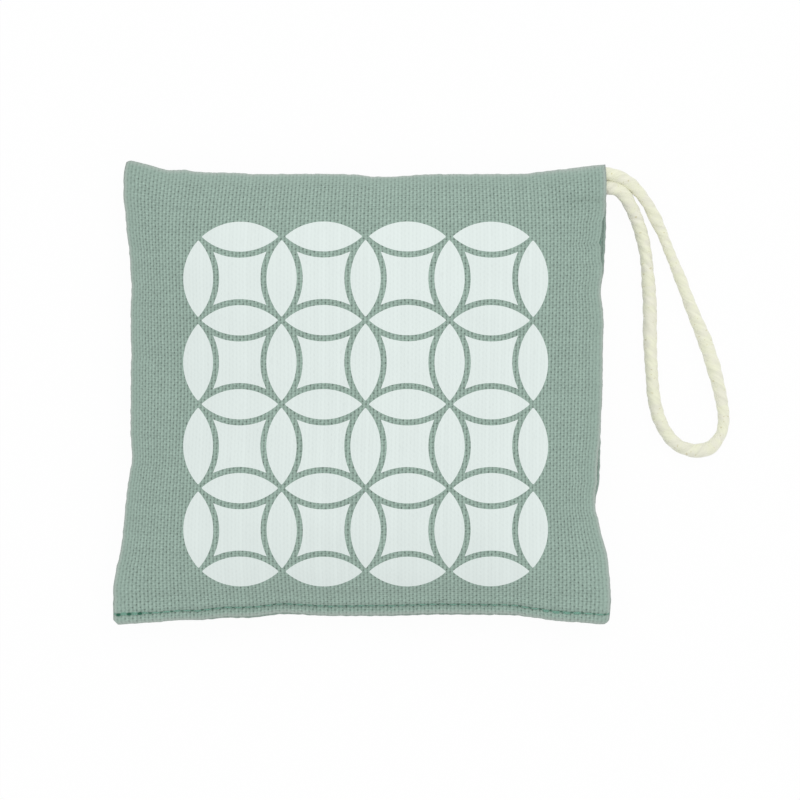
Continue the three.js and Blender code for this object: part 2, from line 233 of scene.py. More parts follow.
# Share of its mean thickness that the cord has at a distance along it from its first sewn end.
SWELL = (
    (0, 1), (8, 1.06), (12, 1), (15, 0.92), (18.5, 0.83), (21, 0.92), (23, 1.02), (25, 0.88), (30, 0.77),
    (33, 0.81), (36, 0.86), (38.5, 0.94), (41.5, 0.85), (44.5, 0.96), (47.5, 0.98), (50, 1.05), (53, 1.13),
    (56, 1.06), (59, 1.12), (62, 1.07), (65, 0.99), (68, 0.94), (72, 0.88), (75.5, 0.88), (77, 0.93),
    (79, 1.07), (81, 1.1), (83, 1.03), (86, 1), (92, 1), (97, 1.01), (102, 1), (106.5, 0.97),
    (109, 1), (112, 1.05), (115, 1.12), (117.5, 1.06), (120, 1.09), (123, 1.03), (125.5, 1.07),
    (128.5, 0.97), (132, 0.96), (139, 1.03), (146, 1.04), (151, 1.06), (158, 1),
)
SWELL_WAVES = 0.03

# The photograph's frame: its middle and its width on the table.
VIEW_X = 8.75
VIEW_Y = -1.65
VIEW_WIDTH = 181.8
CAMERA_HEIGHT = 1200.0
SENSOR = 36.0

# The studio: the key lamp's place and size and the camera's far limit, in metres.
KEY_PLACE = (0.25, 0.6, 1.0)
KEY_SIZE = 1.0
CLIP_END = 20

# Half the floor's width, and the share of white that the camera sees on it.
FLOOR_REACH = 3000
FLOOR_GLOW = 0.96


def linear(red, green, blue):
    """An sRGB colour in 0 to 255 as the linear numbers that shaders use."""
    share = np.array((red, green, blue)) / 255
    bent = ((share + 0.055) / 1.055) ** 2.4
    return tuple(np.where(share <= 0.04045, share / 12.92, bent).tolist())


def length(name, description, default):
    """A length in a group of settings, in metres."""
    return FloatProperty(name=name, description=description, default=default, unit="LENGTH", precision=5)


def colour(name, description, *default):
    """A colour in a group of settings, from its sRGB numbers."""
    shown = {"name": name, "description": description, "subtype": "COLOR", "min": 0, "max": 1}
    return FloatVectorProperty(default=linear(*default), **shown)


class PouchSettings(bpy.types.PropertyGroup):
    """Sizes and colours of the canvas pouch and what it holds."""

    seam_height: length("Seam height", "Height of the seam line above the table", 0.006)
    front_crown: length("Front crown", "Rise of the front cloth above the seam", 0.0126)
    back_crown: length("Back crown", "Drop of the back cloth, before the table flattens it", 0.009)
    cloth: length("Cloth", "Thickness of the canvas", 0.0004)
    lump: length("Lumps", "Height of the soft lumps that the buds press into the cloth", 0.00022)
    pucker: length("Pucker", "Height of the seam's puckers", 0.00022)
    mouth: length("Mouth", "Half of the opening that the two cords need in the seam", 0.0016)
    pressure: FloatProperty(name="Pressure", description="The filling's simulated pressure", default=6.0)
    warp_pitch: length("Warp pitch", "Distance between lengthwise yarns", 0.00087)
    weft_pitch: length("Weft pitch", "Distance between crosswise yarns", 0.000635)
    canvas_colour: colour("Canvas", "Colour of the canvas", 147, 169, 158)
    # Painted sheen: the pale colour of the loose fibres on the front's rim stands in partly for light that
    # they catch at grazing angles.
    painted_rim_colour: colour("Worn rim", "Colour of the fuzz along the front's turned edges", 176, 187, 180)
    # Painted shade: the back's edges darkened where the front's lip shades them.
    shaded_rim_colour: colour("Under rim", "Colour of the back's edges, which the front shades", 138, 156, 147)
    bud_colour: colour("Buds", "Colour of the dried lavender buds", 112, 100, 138)
    straw_colour: colour("Straw", "Colour of the bits of stalk between the buds", 150, 140, 108)


class PrintSettings(bpy.types.PropertyGroup):
    """Size and colour of the printed lattice of petals."""

    block: length("Block", "Width of the printed block", 0.0824)
    centre_x: length("Centre across", "Middle of the block across the pouch", 0.0010)
    centre_y: length("Centre up", "Middle of the block up the pouch", -0.0026)
    cells: IntProperty(name="Cells", description="Cells along one side", default=4, min=1, max=12)
    gap: length("Gap", "Half of the bare line between two petals", 0.0005)
    star_room: length("Star room", "Distance from a star to the circles that bound the petals", 0.00085)
    film: length("Film", "Thickness of the ink", 0.00006)
    ink_colour: colour("Ink", "Colour of the ink", 225, 235, 232)


class SewingSettings(bpy.types.PropertyGroup):
    """Size and colour of the sewing thread."""

    thread: length("Thread", "Diameter of the sewing thread", 0.00037)
    thread_colour: colour("Thread", "Colour of the sewing thread", 124, 171, 153)
    # Painted shade, used in the needle holes and in the line along the lip that stands off the back.
    painted_shade_colour: colour("Needle hole", "Colour of the shade in a needle hole", 46, 100, 80)


class CordSettings(bpy.types.PropertyGroup):
    """Size and colour of the cord."""

    diameter: length("Diameter", "Diameter of the twisted cord", 0.00305)
    turn: length("Turn", "Length of one full turn of the three strands", 0.009)
    cord_colour: colour("Cord", "Colour of the undyed cotton", 235, 236, 212)
    grey_colour: colour("Greyer cord", "Colour of the cotton's greyer stretches", 232, 229, 220)
    husk_colour: colour("Husk", "Colour of the flecks of husk in the cotton", 196, 186, 132)


class StageSettings(bpy.types.PropertyGroup):
    """Light and floor of the studio."""

    sky: FloatProperty(name="Sky", description="Strength of the even light from all round", default=0.86)
    key: FloatProperty(name="Key lamp", description="Watts of the lamp above the top edge", default=2.8)
    floor_colour: colour("Floor", "Colour of the floor", 245, 245, 245)


class SachetSettings(bpy.types.PropertyGroup):
    """All the settings of the sachet."""

    pouch: PointerProperty(type=PouchSettings)
    printing: PointerProperty(type=PrintSettings)
    sewing: PointerProperty(type=SewingSettings)
    cord: PointerProperty(type=CordSettings)
    stage: PointerProperty(type=StageSettings)


# Numbers and nodes of the materials.


def sign(operation, reflected=False):
    """The method of one of Python's operators, as a Math node's operation."""

    def method(value, other):
        return value.finish.maths(operation, *((other, value) if reflected else (value, other)))

    return method


class Value:
    """A number that changes over a surface. Python's operators on it add Math nodes."""

    def __init__(self, finish, socket):
        self.finish = finish
        self.socket = socket

    __add__ = __radd__ = sign("ADD")
    __sub__ = sign("SUBTRACT")
    __rsub__ = sign("SUBTRACT", True)
    __mul__ = __rmul__ = sign("MULTIPLY")
    __truediv__ = sign("DIVIDE")
    __pow__ = sign("POWER")
    __mod__ = sign("MODULO")

    def function(self, operation):
        return self.finish.maths(operation, self)


class Finish:
    """A material in the making. Its node method is the one place where nodes are added."""

    def __init__(self, name, **fixed):
        self.material = bpy.data.materials.new(name)
        self.material.use_nodes = True
        self.tree = self.material.node_tree
        self.shader = next(n for n in self.tree.nodes if n.type == "BSDF_PRINCIPLED")
        for socket, value in fixed.items():
            self.shader.inputs[socket.replace("_", " ")].default_value = value

    def node(self, kind, settings=None, sockets=None, output=0):
        """Adds a node: its settings first, then a value or a link for each named socket."""
        made = self.tree.nodes.new(kind)
        for setting, value in (settings or {}).items():
            setattr(made, setting, value)
        for socket, value in (sockets or {}).items():
            if isinstance(value, Value):
                self.tree.links.new(value.socket, made.inputs[socket])
            else:
                made.inputs[socket].default_value = value
        return Value(self, made.outputs[output])

    def maths(self, operation, *terms):
        return self.node("ShaderNodeMath", {"operation": operation}, dict(enumerate(terms)))

    def ramp(self, value, low, high):
        """0 below low, 1 above high, and a smooth step between."""
        settings = {"interpolation_type": "SMOOTHSTEP"}
        return self.node("ShaderNodeMapRange", settings, {0: value, 1: low, 2: high, 3: 0.0, 4: 1.0})

    def mix(self, factor, one, other):
        """A colour that goes from one to the other."""
        return self.node("ShaderNodeMix", {"data_type": "RGBA"}, {0: factor, 6: one, 7: other}, 2)

    def shade(self, base, factor):
        """A colour made darker or lighter by a factor around 1."""
        start = base if isinstance(base, Value) else base[:3]
        return self.node("ShaderNodeVectorMath", {"operation": "SCALE"}, {0: start, 3: factor})

    def surface_map(self, name):
        """The two coordinates of the piece's own map, as numbers."""
        where = self.node("ShaderNodeUVMap", {"uv_map": name})
        return [self.node("ShaderNodeSeparateXYZ", None, {0: where}, axis) for axis in (0, 1)]

    def noise(self, where, scale=1.0, detail=2.0):
        """Noise between 0 and 1 at a vector, or at a tuple of its coordinates."""
        if isinstance(where, tuple):
            where = self.node("ShaderNodeCombineXYZ", None, dict(enumerate(where)))
        return self.node("ShaderNodeTexNoise", None, {"Vector": where, "Scale": scale, "Detail": detail})

    def grain(self, number):
        """A random number between 0 and 1 for each whole number."""
        return self.node("ShaderNodeTexWhiteNoise", {"noise_dimensions": "1D"}, {"W": number})

    def relief(self, height, depth, strength=1.0):
        """Lets a height between 0 and 1 stand out by depth, in metres."""
        bump = {"Height": height, "Distance": depth, "Strength": strength}
        self.feed("Normal", self.node("ShaderNodeBump", None, bump))

    def feed(self, socket, value):
        self.tree.links.new(value.socket, self.shader.inputs[socket])


def rgba(settings_colour):
    return (*settings_colour, 1.0)


class Weave:
    """Canvas weave on the cloth's own map, as shader values.

    Upright ribs stand side by side, each with a round crown cos(pi a) across its width. Between two ribs
    the crosswise yarn sinks away at every second crossing, as a dip cos(pi a)^5 (1 + cos(pi b)) / 2 that the
    finishes paint dark as shade. The dips of neighbouring gaps are staggered, and each rib gets a painted
    highlight where it floats over a cross yarn.
    rise is the crown less its mean, and sunk is the dip less its mean.
    """

    WANDER = 0.16
    MEAN_CROWN = 0.64
    MEAN_DIP = 0.13
    RIB_KEY = 311
    FLOAT_KEY = 977

    def __init__(self, finish, pouch):
        u, v = finish.surface_map("cloth")
        self.x = u * UV_SPAN
        self.y = v * UV_SPAN
        drift_x = finish.noise((self.x * 0.5, self.y * 0.07)) - 0.5
        drift_y = finish.noise((self.x * 0.07, self.y * 0.5, 7.0)) - 0.5
        warp_at = (self.x + drift_x * self.WANDER) / (pouch.warp_pitch / MM)
        weft_at = (self.y + drift_y * self.WANDER) / (pouch.weft_pitch / MM)
        rib = warp_at.function("FLOOR")
        gap = (warp_at + 0.5).function("FLOOR")
        pick = (weft_at + 0.5).function("FLOOR")
        self.crown = ((warp_at - rib - 0.5) * math.pi).function("COSINE")
        beside = ((warp_at - gap) * math.pi).function("COSINE")
        above = 0.5 - 0.5 * ((weft_at + gap) * math.pi).function("COSINE")
        self.course = (weft_at * (2 * math.pi)).function("COSINE")
        chance = finish.grain(gap + self.RIB_KEY * ((weft_at + gap) / 2).function("FLOOR"))
        self.wave = ((weft_at + rib + 1.2) * math.pi).function("COSINE") * self.crown
        self.dip = beside**5 * above * (0.6 + 0.4 * chance)
        self.rise = self.crown - self.MEAN_CROWN
        self.sunk = self.dip - self.MEAN_DIP
        self.height = 0.5 * self.crown + 0.15 * self.wave - 0.5 * self.dip + 0.5
        self.rib_grain = finish.grain(rib) - 0.5
        self.pick_grain = finish.grain(pick + 0.5) - 0.5
        self.float_grain = finish.grain(rib + self.FLOAT_KEY * weft_at.function("FLOOR")) - 0.5


def from_line(x, y, x0, y0, x1, y1):
    """How far along a line a point lies, as a share of its length, and how far beside it.

    The point's coordinates are arrays or shader values.
    """
    run = math.hypot(x1 - x0, y1 - y0)
    along = ((x - x0) * (x1 - x0) + (y - y0) * (y1 - y0)) / run**2
    beside = ((x - x0) * (y1 - y0) - (y - y0) * (x1 - x0)) / run
    return along, beside


def painted_fold_shade(cloth, weave):
    """Mask of a fold's painted shade: a thin line on the cloth's map, 1 along its middle, and 0 beside it
    and past its ends.
    """
    along, beside = from_line(weave.x, weave.y, *FOLD_LINE)
    span = cloth.ramp(along, -0.1, 0.1) * (1 - cloth.ramp(along, 0.8, 1.1))
    return span * (1 - cloth.ramp(beside.function("ABSOLUTE"), 0.05, FOLD_WIDTH))


def canvas_finish(name, pouch, sewing, painted_rim_colour, lip_shade):
    """Sage canvas: ribs with painted highlights, dips with painted shade, uneven yarns, a rim tone (fuzz
    with painted sheen on the front, painted shade on the back) and needle holes with painted shade.

    lip_shade is the strength of the painted shade line along the rim where the front lip stands off the
    back.
    """
    cloth = Finish(name, Roughness=0.92, Specular_IOR_Level=0.2, Sheen_Weight=0.3, Sheen_Roughness=0.5)
    weave = Weave(cloth, pouch)
    mottle = cloth.noise((weave.x, weave.y), 0.09, 3.0) - 0.5
    fuzz = cloth.noise((weave.x, weave.y), 3.2, 1.0) - 0.5
    beside_rim = CUT_WIDTH / 2 - (weave.x - UV_SPAN / 2).function("ABSOLUTE")
    below_top = (UV_SPAN + CUT_HEIGHT) / 2 - weave.y
    above_bottom = weave.y - (UV_SPAN - CUT_HEIGHT) / 2
    seam = cloth.maths("MINIMUM", beside_rim, below_top)
    clear = 0.4 + 0.6 * cloth.ramp(seam, 0.3, 5.0)
    # Painted light: the cloth is paler within a few millimetres of the side and top seams, where its slopes
    # face the bright surroundings.
    pale = 0.055 * (1 - cloth.ramp(seam, 0.6, 4.0))
    # Painted light on the weave: highlights on the ribs' crowns and floats, shade in the dips and along the
    # weft's courses.
    yarns = 0.22 * weave.rise + 0.08 * weave.wave - 0.4 * weave.sunk - 0.085 * weave.course
    yarns = yarns + 0.1 * weave.course * weave.rise
    grains = 0.05 * weave.rib_grain + 0.05 * weave.pick_grain + 0.1 * weave.float_grain
    # The last term is the painted shade of a thin fold above the stitches.
    tone = 1 + clear * (yarns + grains + 0.7 * fuzz) + pale + 0.06 * mottle - 0.25 * painted_fold_shade(cloth, weave)
    base = cloth.shade(rgba(pouch.canvas_colour), tone)
    # Rim tone mixed in below: fuzz with painted sheen on the front's rim, painted shade on the back's rim.
    painted_rim_tone = 1 - cloth.ramp(cloth.maths("MINIMUM", seam, above_bottom), 0.0, PAINTED_RIM_WIDTH)
    start, full, fading, end = LIP_OFF_HEIGHTS
    lip_stands_off = cloth.ramp(weave.y, start, full) * (1 - cloth.ramp(weave.y, fading, end))
    lip_stands_off = lip_stands_off * cloth.ramp(weave.x, 0.8 * UV_SPAN, 0.9 * UV_SPAN)
    if lip_shade:
        painted_rim_tone = painted_rim_tone * (1 - 0.9 * lip_stands_off)
    base = cloth.mix(0.65 * painted_rim_tone, base, rgba(painted_rim_colour))
    if lip_shade:
        # Painted shade: a dark line along the front's rim where its lip stands off the back.
        lip = lip_stands_off * (1 - cloth.ramp(beside_rim, 0.05, 0.4))
        base = cloth.mix(lip_shade * lip, base, rgba(sewing.painted_shade_colour))
    hole_pitch = CUT_WIDTH / COLUMNS * STITCH_COLUMNS
    first = (UV_SPAN - CUT_WIDTH) / 2 + hole_pitch / 2
    line = (UV_SPAN - CUT_HEIGHT) / 2 + STITCH_INSET
    tack = 1 - cloth.ramp(weave.x, TACK_END - 2, TACK_END)
    beside = (((weave.x - first) / hole_pitch + 0.5) % 1 - 0.5) * (hole_pitch / HOLE_WIDTH)
    above = (weave.y - line) / HOLE_HEIGHT
    near = (beside * beside + above * above).function("SQRT") / (1 + 0.6 * tack)
    hole = 1 - cloth.ramp(near, 0.4, 1.1)
    # Painted shade in each needle hole, wider and stronger in the doubled stitches at the left end.
    base = cloth.mix((0.8 + 0.2 * tack) * hole, base, rgba(sewing.painted_shade_colour))
    cloth.feed("Base Color", base)
    cloth.relief(weave.height - 0.8 * hole, 0.00016, 0.8)
    return cloth.material


def ink_finish(pouch, printing):
    """Matt white ink: it fills the weave, so yarns show only as faint upright lines and thin spots."""
    ink = Finish("white ink", Roughness=0.8, Specular_IOR_Level=0.25)
    weave = Weave(ink, pouch)
    thin = ink.noise((weave.x, weave.y * 0.3), 1.3, 3.0)
    # Painted light on the weave under the ink: faint highlights on the ribs, faint shade in the dips.
    tone = 1 + 0.02 * weave.rise - 0.04 * weave.dip + 0.03 * weave.rib_grain
    base = ink.shade(rgba(printing.ink_colour), tone - 0.05 * ink.ramp(thin, 0.58, 0.8))
    ink.feed("Base Color", base)
    ink.relief(weave.height, 0.00005, 0.5)
    return ink.material


def thread_finish(sewing):
    """Green sewing thread: two plies twisted together, seen as slanting bands of painted light and shade on
    the thread's own map.
    """
    thread = Finish("green sewing thread", Roughness=0.55, Specular_IOR_Level=0.35, Sheen_Weight=0.1)
    around, along = thread.surface_map("thread")
    ply = ((2 * around + along * 2.2) * (2 * math.pi)).function("SINE") * 0.5 + 0.5
    speck = thread.noise((around * 6, along * 14)) - 0.5
    # Painted light and shade: each ply lighter on its crown and darker in the groove between.
    thread.feed("Base Color", thread.shade(rgba(sewing.thread_colour), 0.8 + 0.3 * ply + 0.25 * speck))
    thread.relief(ply, 0.00006)
    return thread.material


def seam_thread_finish(sewing):
    """The same thread inside the seams, with its twist as waves along the piece."""
    thread = Finish("green seam thread", Roughness=0.6, Specular_IOR_Level=0.3)
    where = thread.node("ShaderNodeTexCoord", None, None, 3)
    slant = {"bands_direction": "DIAGONAL"}
    twist = thread.node("ShaderNodeTexWave", slant, {"Vector": where, "Scale": 900.0})
    # Painted light and shade: the twist's waves make the thread lighter and darker.
    thread.feed("Base Color", thread.shade(rgba(sewing.thread_colour), 0.8 + 0.25 * twist))
    thread.relief(twist, 0.00004)
    return thread.material


def cord_finish(cord):
    """Undyed cotton: three strands with shaded grooves, fine fibres along each, a few flecks of husk."""
    soft = {"Sheen_Weight": 0.7, "Sheen_Roughness": 0.5}
    cotton = Finish("undyed cotton cord", Roughness=0.85, Specular_IOR_Level=0.25, **soft)
    around, along = cotton.surface_map("cord")
    phase = around - along
    groove = ((3 * math.pi) * phase).function("SINE").function("ABSOLUTE")
    fibre = cotton.noise((phase * 22, along * 4 + phase * 1.5), detail=3.0) - 0.5
    streak = cotton.noise((phase * 7, along * 3, 5.0)) - 0.5
    slub = cotton.noise((around * 2, along * 4, 3.0))
    fleck = cotton.noise((around * 9, along * 14, 9.0), detail=1.0)
    tone = 1.0 + 0.18 * fibre + 0.2 * streak - 0.035 * cotton.ramp(groove, 0.8, 1.0)
    greyer = 0.4 * cotton.ramp(slub, 0.4, 0.62)
    base = cotton.shade(cotton.mix(greyer, rgba(cord.cord_colour), rgba(cord.grey_colour)), tone)
    base = cotton.mix(0.5 * cotton.ramp(fleck, 0.66, 0.74), base, rgba(cord.husk_colour))
    cotton.feed("Base Color", base)
    cotton.relief(0.5 + fibre - 0.15 * cotton.ramp(groove, 0.75, 1.0), 0.00006)
    return cotton.material


def bud_finish(pouch):
    """Dried lavender: rounded cells of grey violet with straw-coloured bits, each bud darker towards the rim
    of its cell as painted shade.
    """
    buds = Finish("dried lavender", Roughness=0.9)
    where = buds.node("ShaderNodeTexCoord", None, None, 3)
    cells = buds.node("ShaderNodeTexVoronoi", None, {"Vector": where, "Scale": 330.0})
    straw = buds.ramp(buds.noise(where, 260.0), 0.56, 0.68)
    base = buds.mix(0.6 * straw, rgba(pouch.bud_colour), rgba(pouch.straw_colour))
    # Painted shade: each bud darker away from its cell's middle.
    buds.feed("Base Color", buds.shade(base, 1.15 - 0.5 * cells))
    buds.relief(1 - cells, 0.0006)
    return buds.material


# Shapes as whole arrays.


def steady_slopes(value, at):
    """Slope at each point of a curve that never overshoots: the harmonic mean, or 0 at a turning point."""
    secant = np.diff(value) / np.diff(at)
    before = secant[:-1]
    after = secant[1:]
    same = before * after > 0
    inner = np.where(same, 2 * before * after / np.where(same, before + after, 1), 0)
    return np.concatenate((secant[:1], inner, secant[-1:]))


def through(points, wanted, slopes=steady_slopes):
    """A smooth curve through given points: between two points a cubic that keeps each point's slope."""
    at, value = np.array(points, float).T
    slope = slopes(value, at)
    i = np.clip(np.searchsorted(at, wanted) - 1, 0, len(at) - 2)
    step = at[i + 1] - at[i]
    f = (wanted - at[i]) / step
    rise = value[i + 1] - value[i]
    start = slope[i] * step
    end = slope[i + 1] * step
    return value[i] + start * f + (3 * rise - 2 * start - end) * f**2 + (start + end - 2 * rise) * f**3


def smooth(value, low, high):
    """0 up to low, 1 from high, and a smooth step between."""
    f = np.clip((value - low) / (high - low), 0, 1)
    return f * f * (3 - 2 * f)


def unit(vectors):
    """Vectors of the same directions and length 1."""
    return vectors / np.linalg.norm(vectors, axis=-1, keepdims=True)


def running(steps):
    """The sum of all the steps before each point, from 0 at the first."""
    return np.concatenate(((0,), np.cumsum(steps)))


def distances(line):
    """How far each point of a line lies along it."""
    return running(np.linalg.norm(np.diff(line, axis=0), axis=1))


def drawn_in(share, margin, size):
    """A share of the cloth's size, drawn in from both ends by a margin."""
    return margin / size + share * (1 - 2 * margin / size)


def edge(points, share, upright):
    """A point on one edge of the outline at a share of the way from its first corner to its last."""
    at = points[0][0] + (points[-1][0] - points[0][0]) * share
    value = through(points, at)
    return np.stack((value, at) if upright else (at, value), -1)


def ragged(along, share, phase):
    """How uneven a turned edge is, in millimetres: three short waves that fade out towards its corners."""
    wave = 0.04 * np.sin(2.3 * along + phase) + 0.03 * np.sin(1.41 * along + 2.7 * phase)
    wave = wave + 0.03 * np.sin(3.1 * along + 1.3 * np.sin(0.37 * along) + 5 * phase)
    return wave * smooth(share, 0.01, 0.06) * smooth(1 - share, 0.01, 0.06)


def bow(share):
    """Three bumps that vanish at both corners of an edge: u (1 - u) times 1, u and u^2."""
    return (share * (1 - share))[..., None] * np.stack((np.ones_like(share), share, share**2), -1)


def off_line(points, share):
    """How far an edge lies off the line between its corners."""
    (start, first), (end, last) = points[0], points[-1]
    return through(points, start + (end - start) * share) - (first + (last - first) * share)


def dent(points, share):
    """How far an edge lies off its smooth course, the bow that fits it best between its corners."""
    steps = np.linspace(0, 1, DENT_STEPS)
    weights = np.linalg.lstsq(bow(steps), off_line(points, steps), rcond=None)[0]
    return off_line(points, share) - bow(share) @ weights


def lie(s, t, side=0):
    """Where the cloth's point (s, t) lies on the table, in millimetres.

    The four edges are blended: the mean of left and right, plus the mean of bottom and top, less the mean
    of the four corners, each weighted by s and t. The edges' dents fade out within a few millimetres.
    side is 1 for the front cloth and -1 for the back, whose edges are slightly uneven, or 0 for the plain
    outline.
    """
    s, t = spread(s, t)
    s1 = s[..., None]
    t1 = t[..., None]
    left = edge(LEFT_EDGE, t, True)
    right = edge(RIGHT_EDGE, t, True)
    bottom = edge(BOTTOM_EDGE, s, False)
    top = edge(TOP_EDGE, s, False)
    flat = np.zeros(s.shape + (2,))
    for points, line, share, axis, phase, far in (
        (LEFT_EDGE, left, t, 0, 0.5, s * CUT_WIDTH),
        (RIGHT_EDGE, right, t, 0, 3.1, (1 - s) * CUT_WIDTH),
        (BOTTOM_EDGE, bottom, s, 1, 1.7, t * CUT_HEIGHT),
        (TOP_EDGE, top, s, 1, 4.4, (1 - t) * CUT_HEIGHT),
    ):
        dented = dent(points, share)
        line[..., axis] -= dented
        along = line[..., 1 - axis]
        if side:
            dented = dented + ragged(along, share, phase + side)
        if side > 0 and points is RIGHT_EDGE:
            dented = dented - through(RIGHT_SHORT, along)
        if side > 0 and points is BOTTOM_EDGE:
            dented = dented + through(BOTTOM_SHORT, along)
        flat[..., axis] += dented * np.exp(-((far / DENT_DEPTH) ** 2))
    low = (1 - s1) * np.array(BOTTOM_EDGE[0]) + s1 * np.array(BOTTOM_EDGE[-1])
    high = (1 - s1) * np.array(TOP_EDGE[0]) + s1 * np.array(TOP_EDGE[-1])
    return flat + (1 - s1) * left + s1 * right + (1 - t1) * (bottom - low) + t1 * (top - high)


def rounding(share, power):
    """The crown's height along one way: (1 - |2 u - 1|^power)^0.76."""
    return (1 - np.abs(2 * np.clip(share, 0, 1) - 1) ** power) ** CROWN_ROUND


def above_row(t):
    """Share of the way up from the stitched row to the top seam."""
    row = STITCH_INSET / CUT_HEIGHT
    return (t - row) / (1 - row)


def fullness(s, t):
    """Share of the crown's height, as the two ways' roundings, from the side seams to the stitched row."""
    return rounding(s, CROWN_ACROSS) * rounding(above_row(t), CROWN_UP)


def gathered(share, profile, length, steep):
    """How far a slope has drawn the cloth in by a share: the integral of 1 - 1 / sqrt(1 + slope^2).

    steep weighs the slope's square in the first and the second half. What an even spread would draw in is
    subtracted, so both ends stay where they are.
    """
    u = np.linspace(0, 1, SLOPE_STEPS)
    slope = SLOPE_CROWN / length * np.diff(profile(u)) / np.diff(u)
    weight = np.where(u[1:] < 0.5, steep[0], steep[1])
    total = running((1 - 1 / np.sqrt(1 + weight * slope**2)) * np.diff(u))
    return np.interp(share, u, total - u * total[-1])


def spread(s, t):
    """Where a point of the cut sheet lies, as shares of the outline.

    Even yarns lie closer together in plan where the cloth slopes. The slope one way falls with the crown's
    height the other way.
    """
    across = gathered(s, lambda u: rounding(u, CROWN_ACROSS), CUT_WIDTH, STEEP_SIDES)
    up = gathered(t, lambda u: rounding(above_row(u), CROWN_UP), CUT_HEIGHT, STEEP_ENDS)
    full_s = rounding(s, CROWN_ACROSS)
    full_t = rounding(above_row(t), CROWN_UP)
    return s - full_t**2 * across, t - full_s**2 * up


def quads(rows, columns, wrap=False):
    """Corner numbers of a grid's faces, and the same corners numbered as if the grid were cut open."""
    row, column = np.meshgrid(np.arange(rows - 1), np.arange(columns - 1 + wrap), indexing="ij")
    corners = np.array(((0, 0), (0, 1), (1, 1), (1, 0)))
    r = row.reshape(-1, 1) + corners[:, 0]
    c = column.reshape(-1, 1) + corners[:, 1]
    return r * columns + c % columns, r * (columns + wrap) + c


def add_object(name, data):
    """An object in the scene that shows a mesh, a lamp or a camera."""
    made = bpy.data.objects.new(name, data)
    bpy.context.scene.collection.objects.link(made)
    return made


def points_of(mesh):
    """A mesh's points, in millimetres."""
    place = np.zeros(len(mesh.vertices) * 3, np.float32)
    mesh.vertices.foreach_get("co", place)
    return place.reshape(-1, 3) / MM


def make_piece(name, points, faces, material, maps=None):
    """A mesh object at the origin. faces holds one array of corner numbers for each kind of face.

    maps holds a name and, for each array of faces, the place of each corner on the map.
    """
    mesh = bpy.data.meshes.new(name)
    mesh.from_pydata(np.asarray(points) * MM, [], [f for kind in faces for f in kind.tolist()])
    if maps:
        layer = mesh.uv_layers.new(name=maps[0])
        places = np.concatenate([np.asarray(m).reshape(-1, 2) for m in maps[1]])
        layer.data.foreach_set("uv", places.astype(np.float32).ravel())
    mesh.polygons.foreach_set("use_smooth", np.ones(len(mesh.polygons), bool))
    mesh.materials.append(material)
    mesh.validate()
    mesh.update()
    return add_object(name, mesh)


def add_wall(piece, name, thickness):
    """Gives a sheet its thickness, away from its outer face."""
    wall = piece.modifiers.new(name, "SOLIDIFY")
    wall.thickness = thickness
    wall.offset = -1


def crisp_rim(mesh):
    """Marks the edges that only one face has as sharp, so a thin film does not look rounded there."""
    edges = np.zeros(len(mesh.loops), np.int32)
    mesh.loops.foreach_get("edge_index", edges)
    mesh.edges.foreach_set("use_edge_sharp", np.bincount(edges, minlength=len(mesh.edges)) == 1)


def join(parts):
    """One set of points, faces and maps from several, each as the shapes above return them."""
    points, faces, maps = [], [], []
    count = 0
    for part_points, part_faces, part_maps in parts:
        points.append(part_points)
        faces += [kind + count for kind in part_faces]
        maps += part_maps
        count += len(part_points)
    return np.concatenate(points), faces, maps


def tube(line, radius, turn, sides):
    """A closed tube along a line: rings of points at radius(angle, along) from it, with a pole at each end.

    turn is the length that one unit of its map stands for. The rings are square to the line, upright in Z.
    """
    along = distances(line)
    forward = unit(np.gradient(line, along, axis=0))
    aside = unit(np.cross(forward, (0, 0, 1)))
    up = np.cross(aside, forward)
    angle = np.arange(sides) / sides * 2 * np.pi
    r = radius(angle[None, :], along[:, None])[..., None]
    ring = aside[:, None] * np.cos(angle)[None, :, None] + up[:, None] * np.sin(angle)[None, :, None]
    rows = len(line)
    points = np.concatenate(((line[:, None] + r * ring).reshape(-1, 3), line[[0, -1]]))
    faces, opened = quads(rows, sides, True)
    place = np.stack(np.meshgrid(along / turn, np.arange(sides + 1) / sides, indexing="ij")[::-1], -1)
    body_map = place.reshape(-1, 2)[opened]
    i = np.arange(sides)
    first = np.stack((np.full(sides, rows * sides), (i + 1) % sides, i), -1)
    last = np.stack((np.full(sides, rows * sides + 1), i, (i + 1) % sides), -1)
    last[:, 1:] += (rows - 1) * sides
    cap_map = np.zeros((sides, 3, 2))
    maps = [body_map[:, ::-1], cap_map, cap_map]
    return points, [faces[:, ::-1], first[:, ::-1], last[:, ::-1]], maps


def thread_tube(line, thread):
    """A round tube for a sewing thread of one thickness."""
    return tube(line, lambda angle, along: thread / 2 + 0 * angle * along, THREAD_TURN, THREAD_SIDES)


def sheet_grid(columns, row_shares):
    """The cloth's two parameters on a grid of rows and columns."""
    t, s = np.meshgrid(row_shares, np.linspace(0, 1, columns + 1), indexing="ij")
    return s, t


def rows_of_cloth():
    """Shares of the cloth's height for the fine rows: close together in the stitched band, wider above."""
    band = np.linspace(0, BAND_DEPTH / CUT_HEIGHT, BAND_ROWS, endpoint=False)
    return np.concatenate((band, np.linspace(BAND_DEPTH / CUT_HEIGHT, 1, FIELD_ROWS)))


def rim(rows, columns):
    """Numbers of a grid's rim points, anticlockwise from its first corner."""
    number = np.arange(rows * columns).reshape(rows, columns)
    return np.concatenate((number[0, :-1], number[:-1, -1], number[-1, :0:-1], number[:0:-1, 0]))


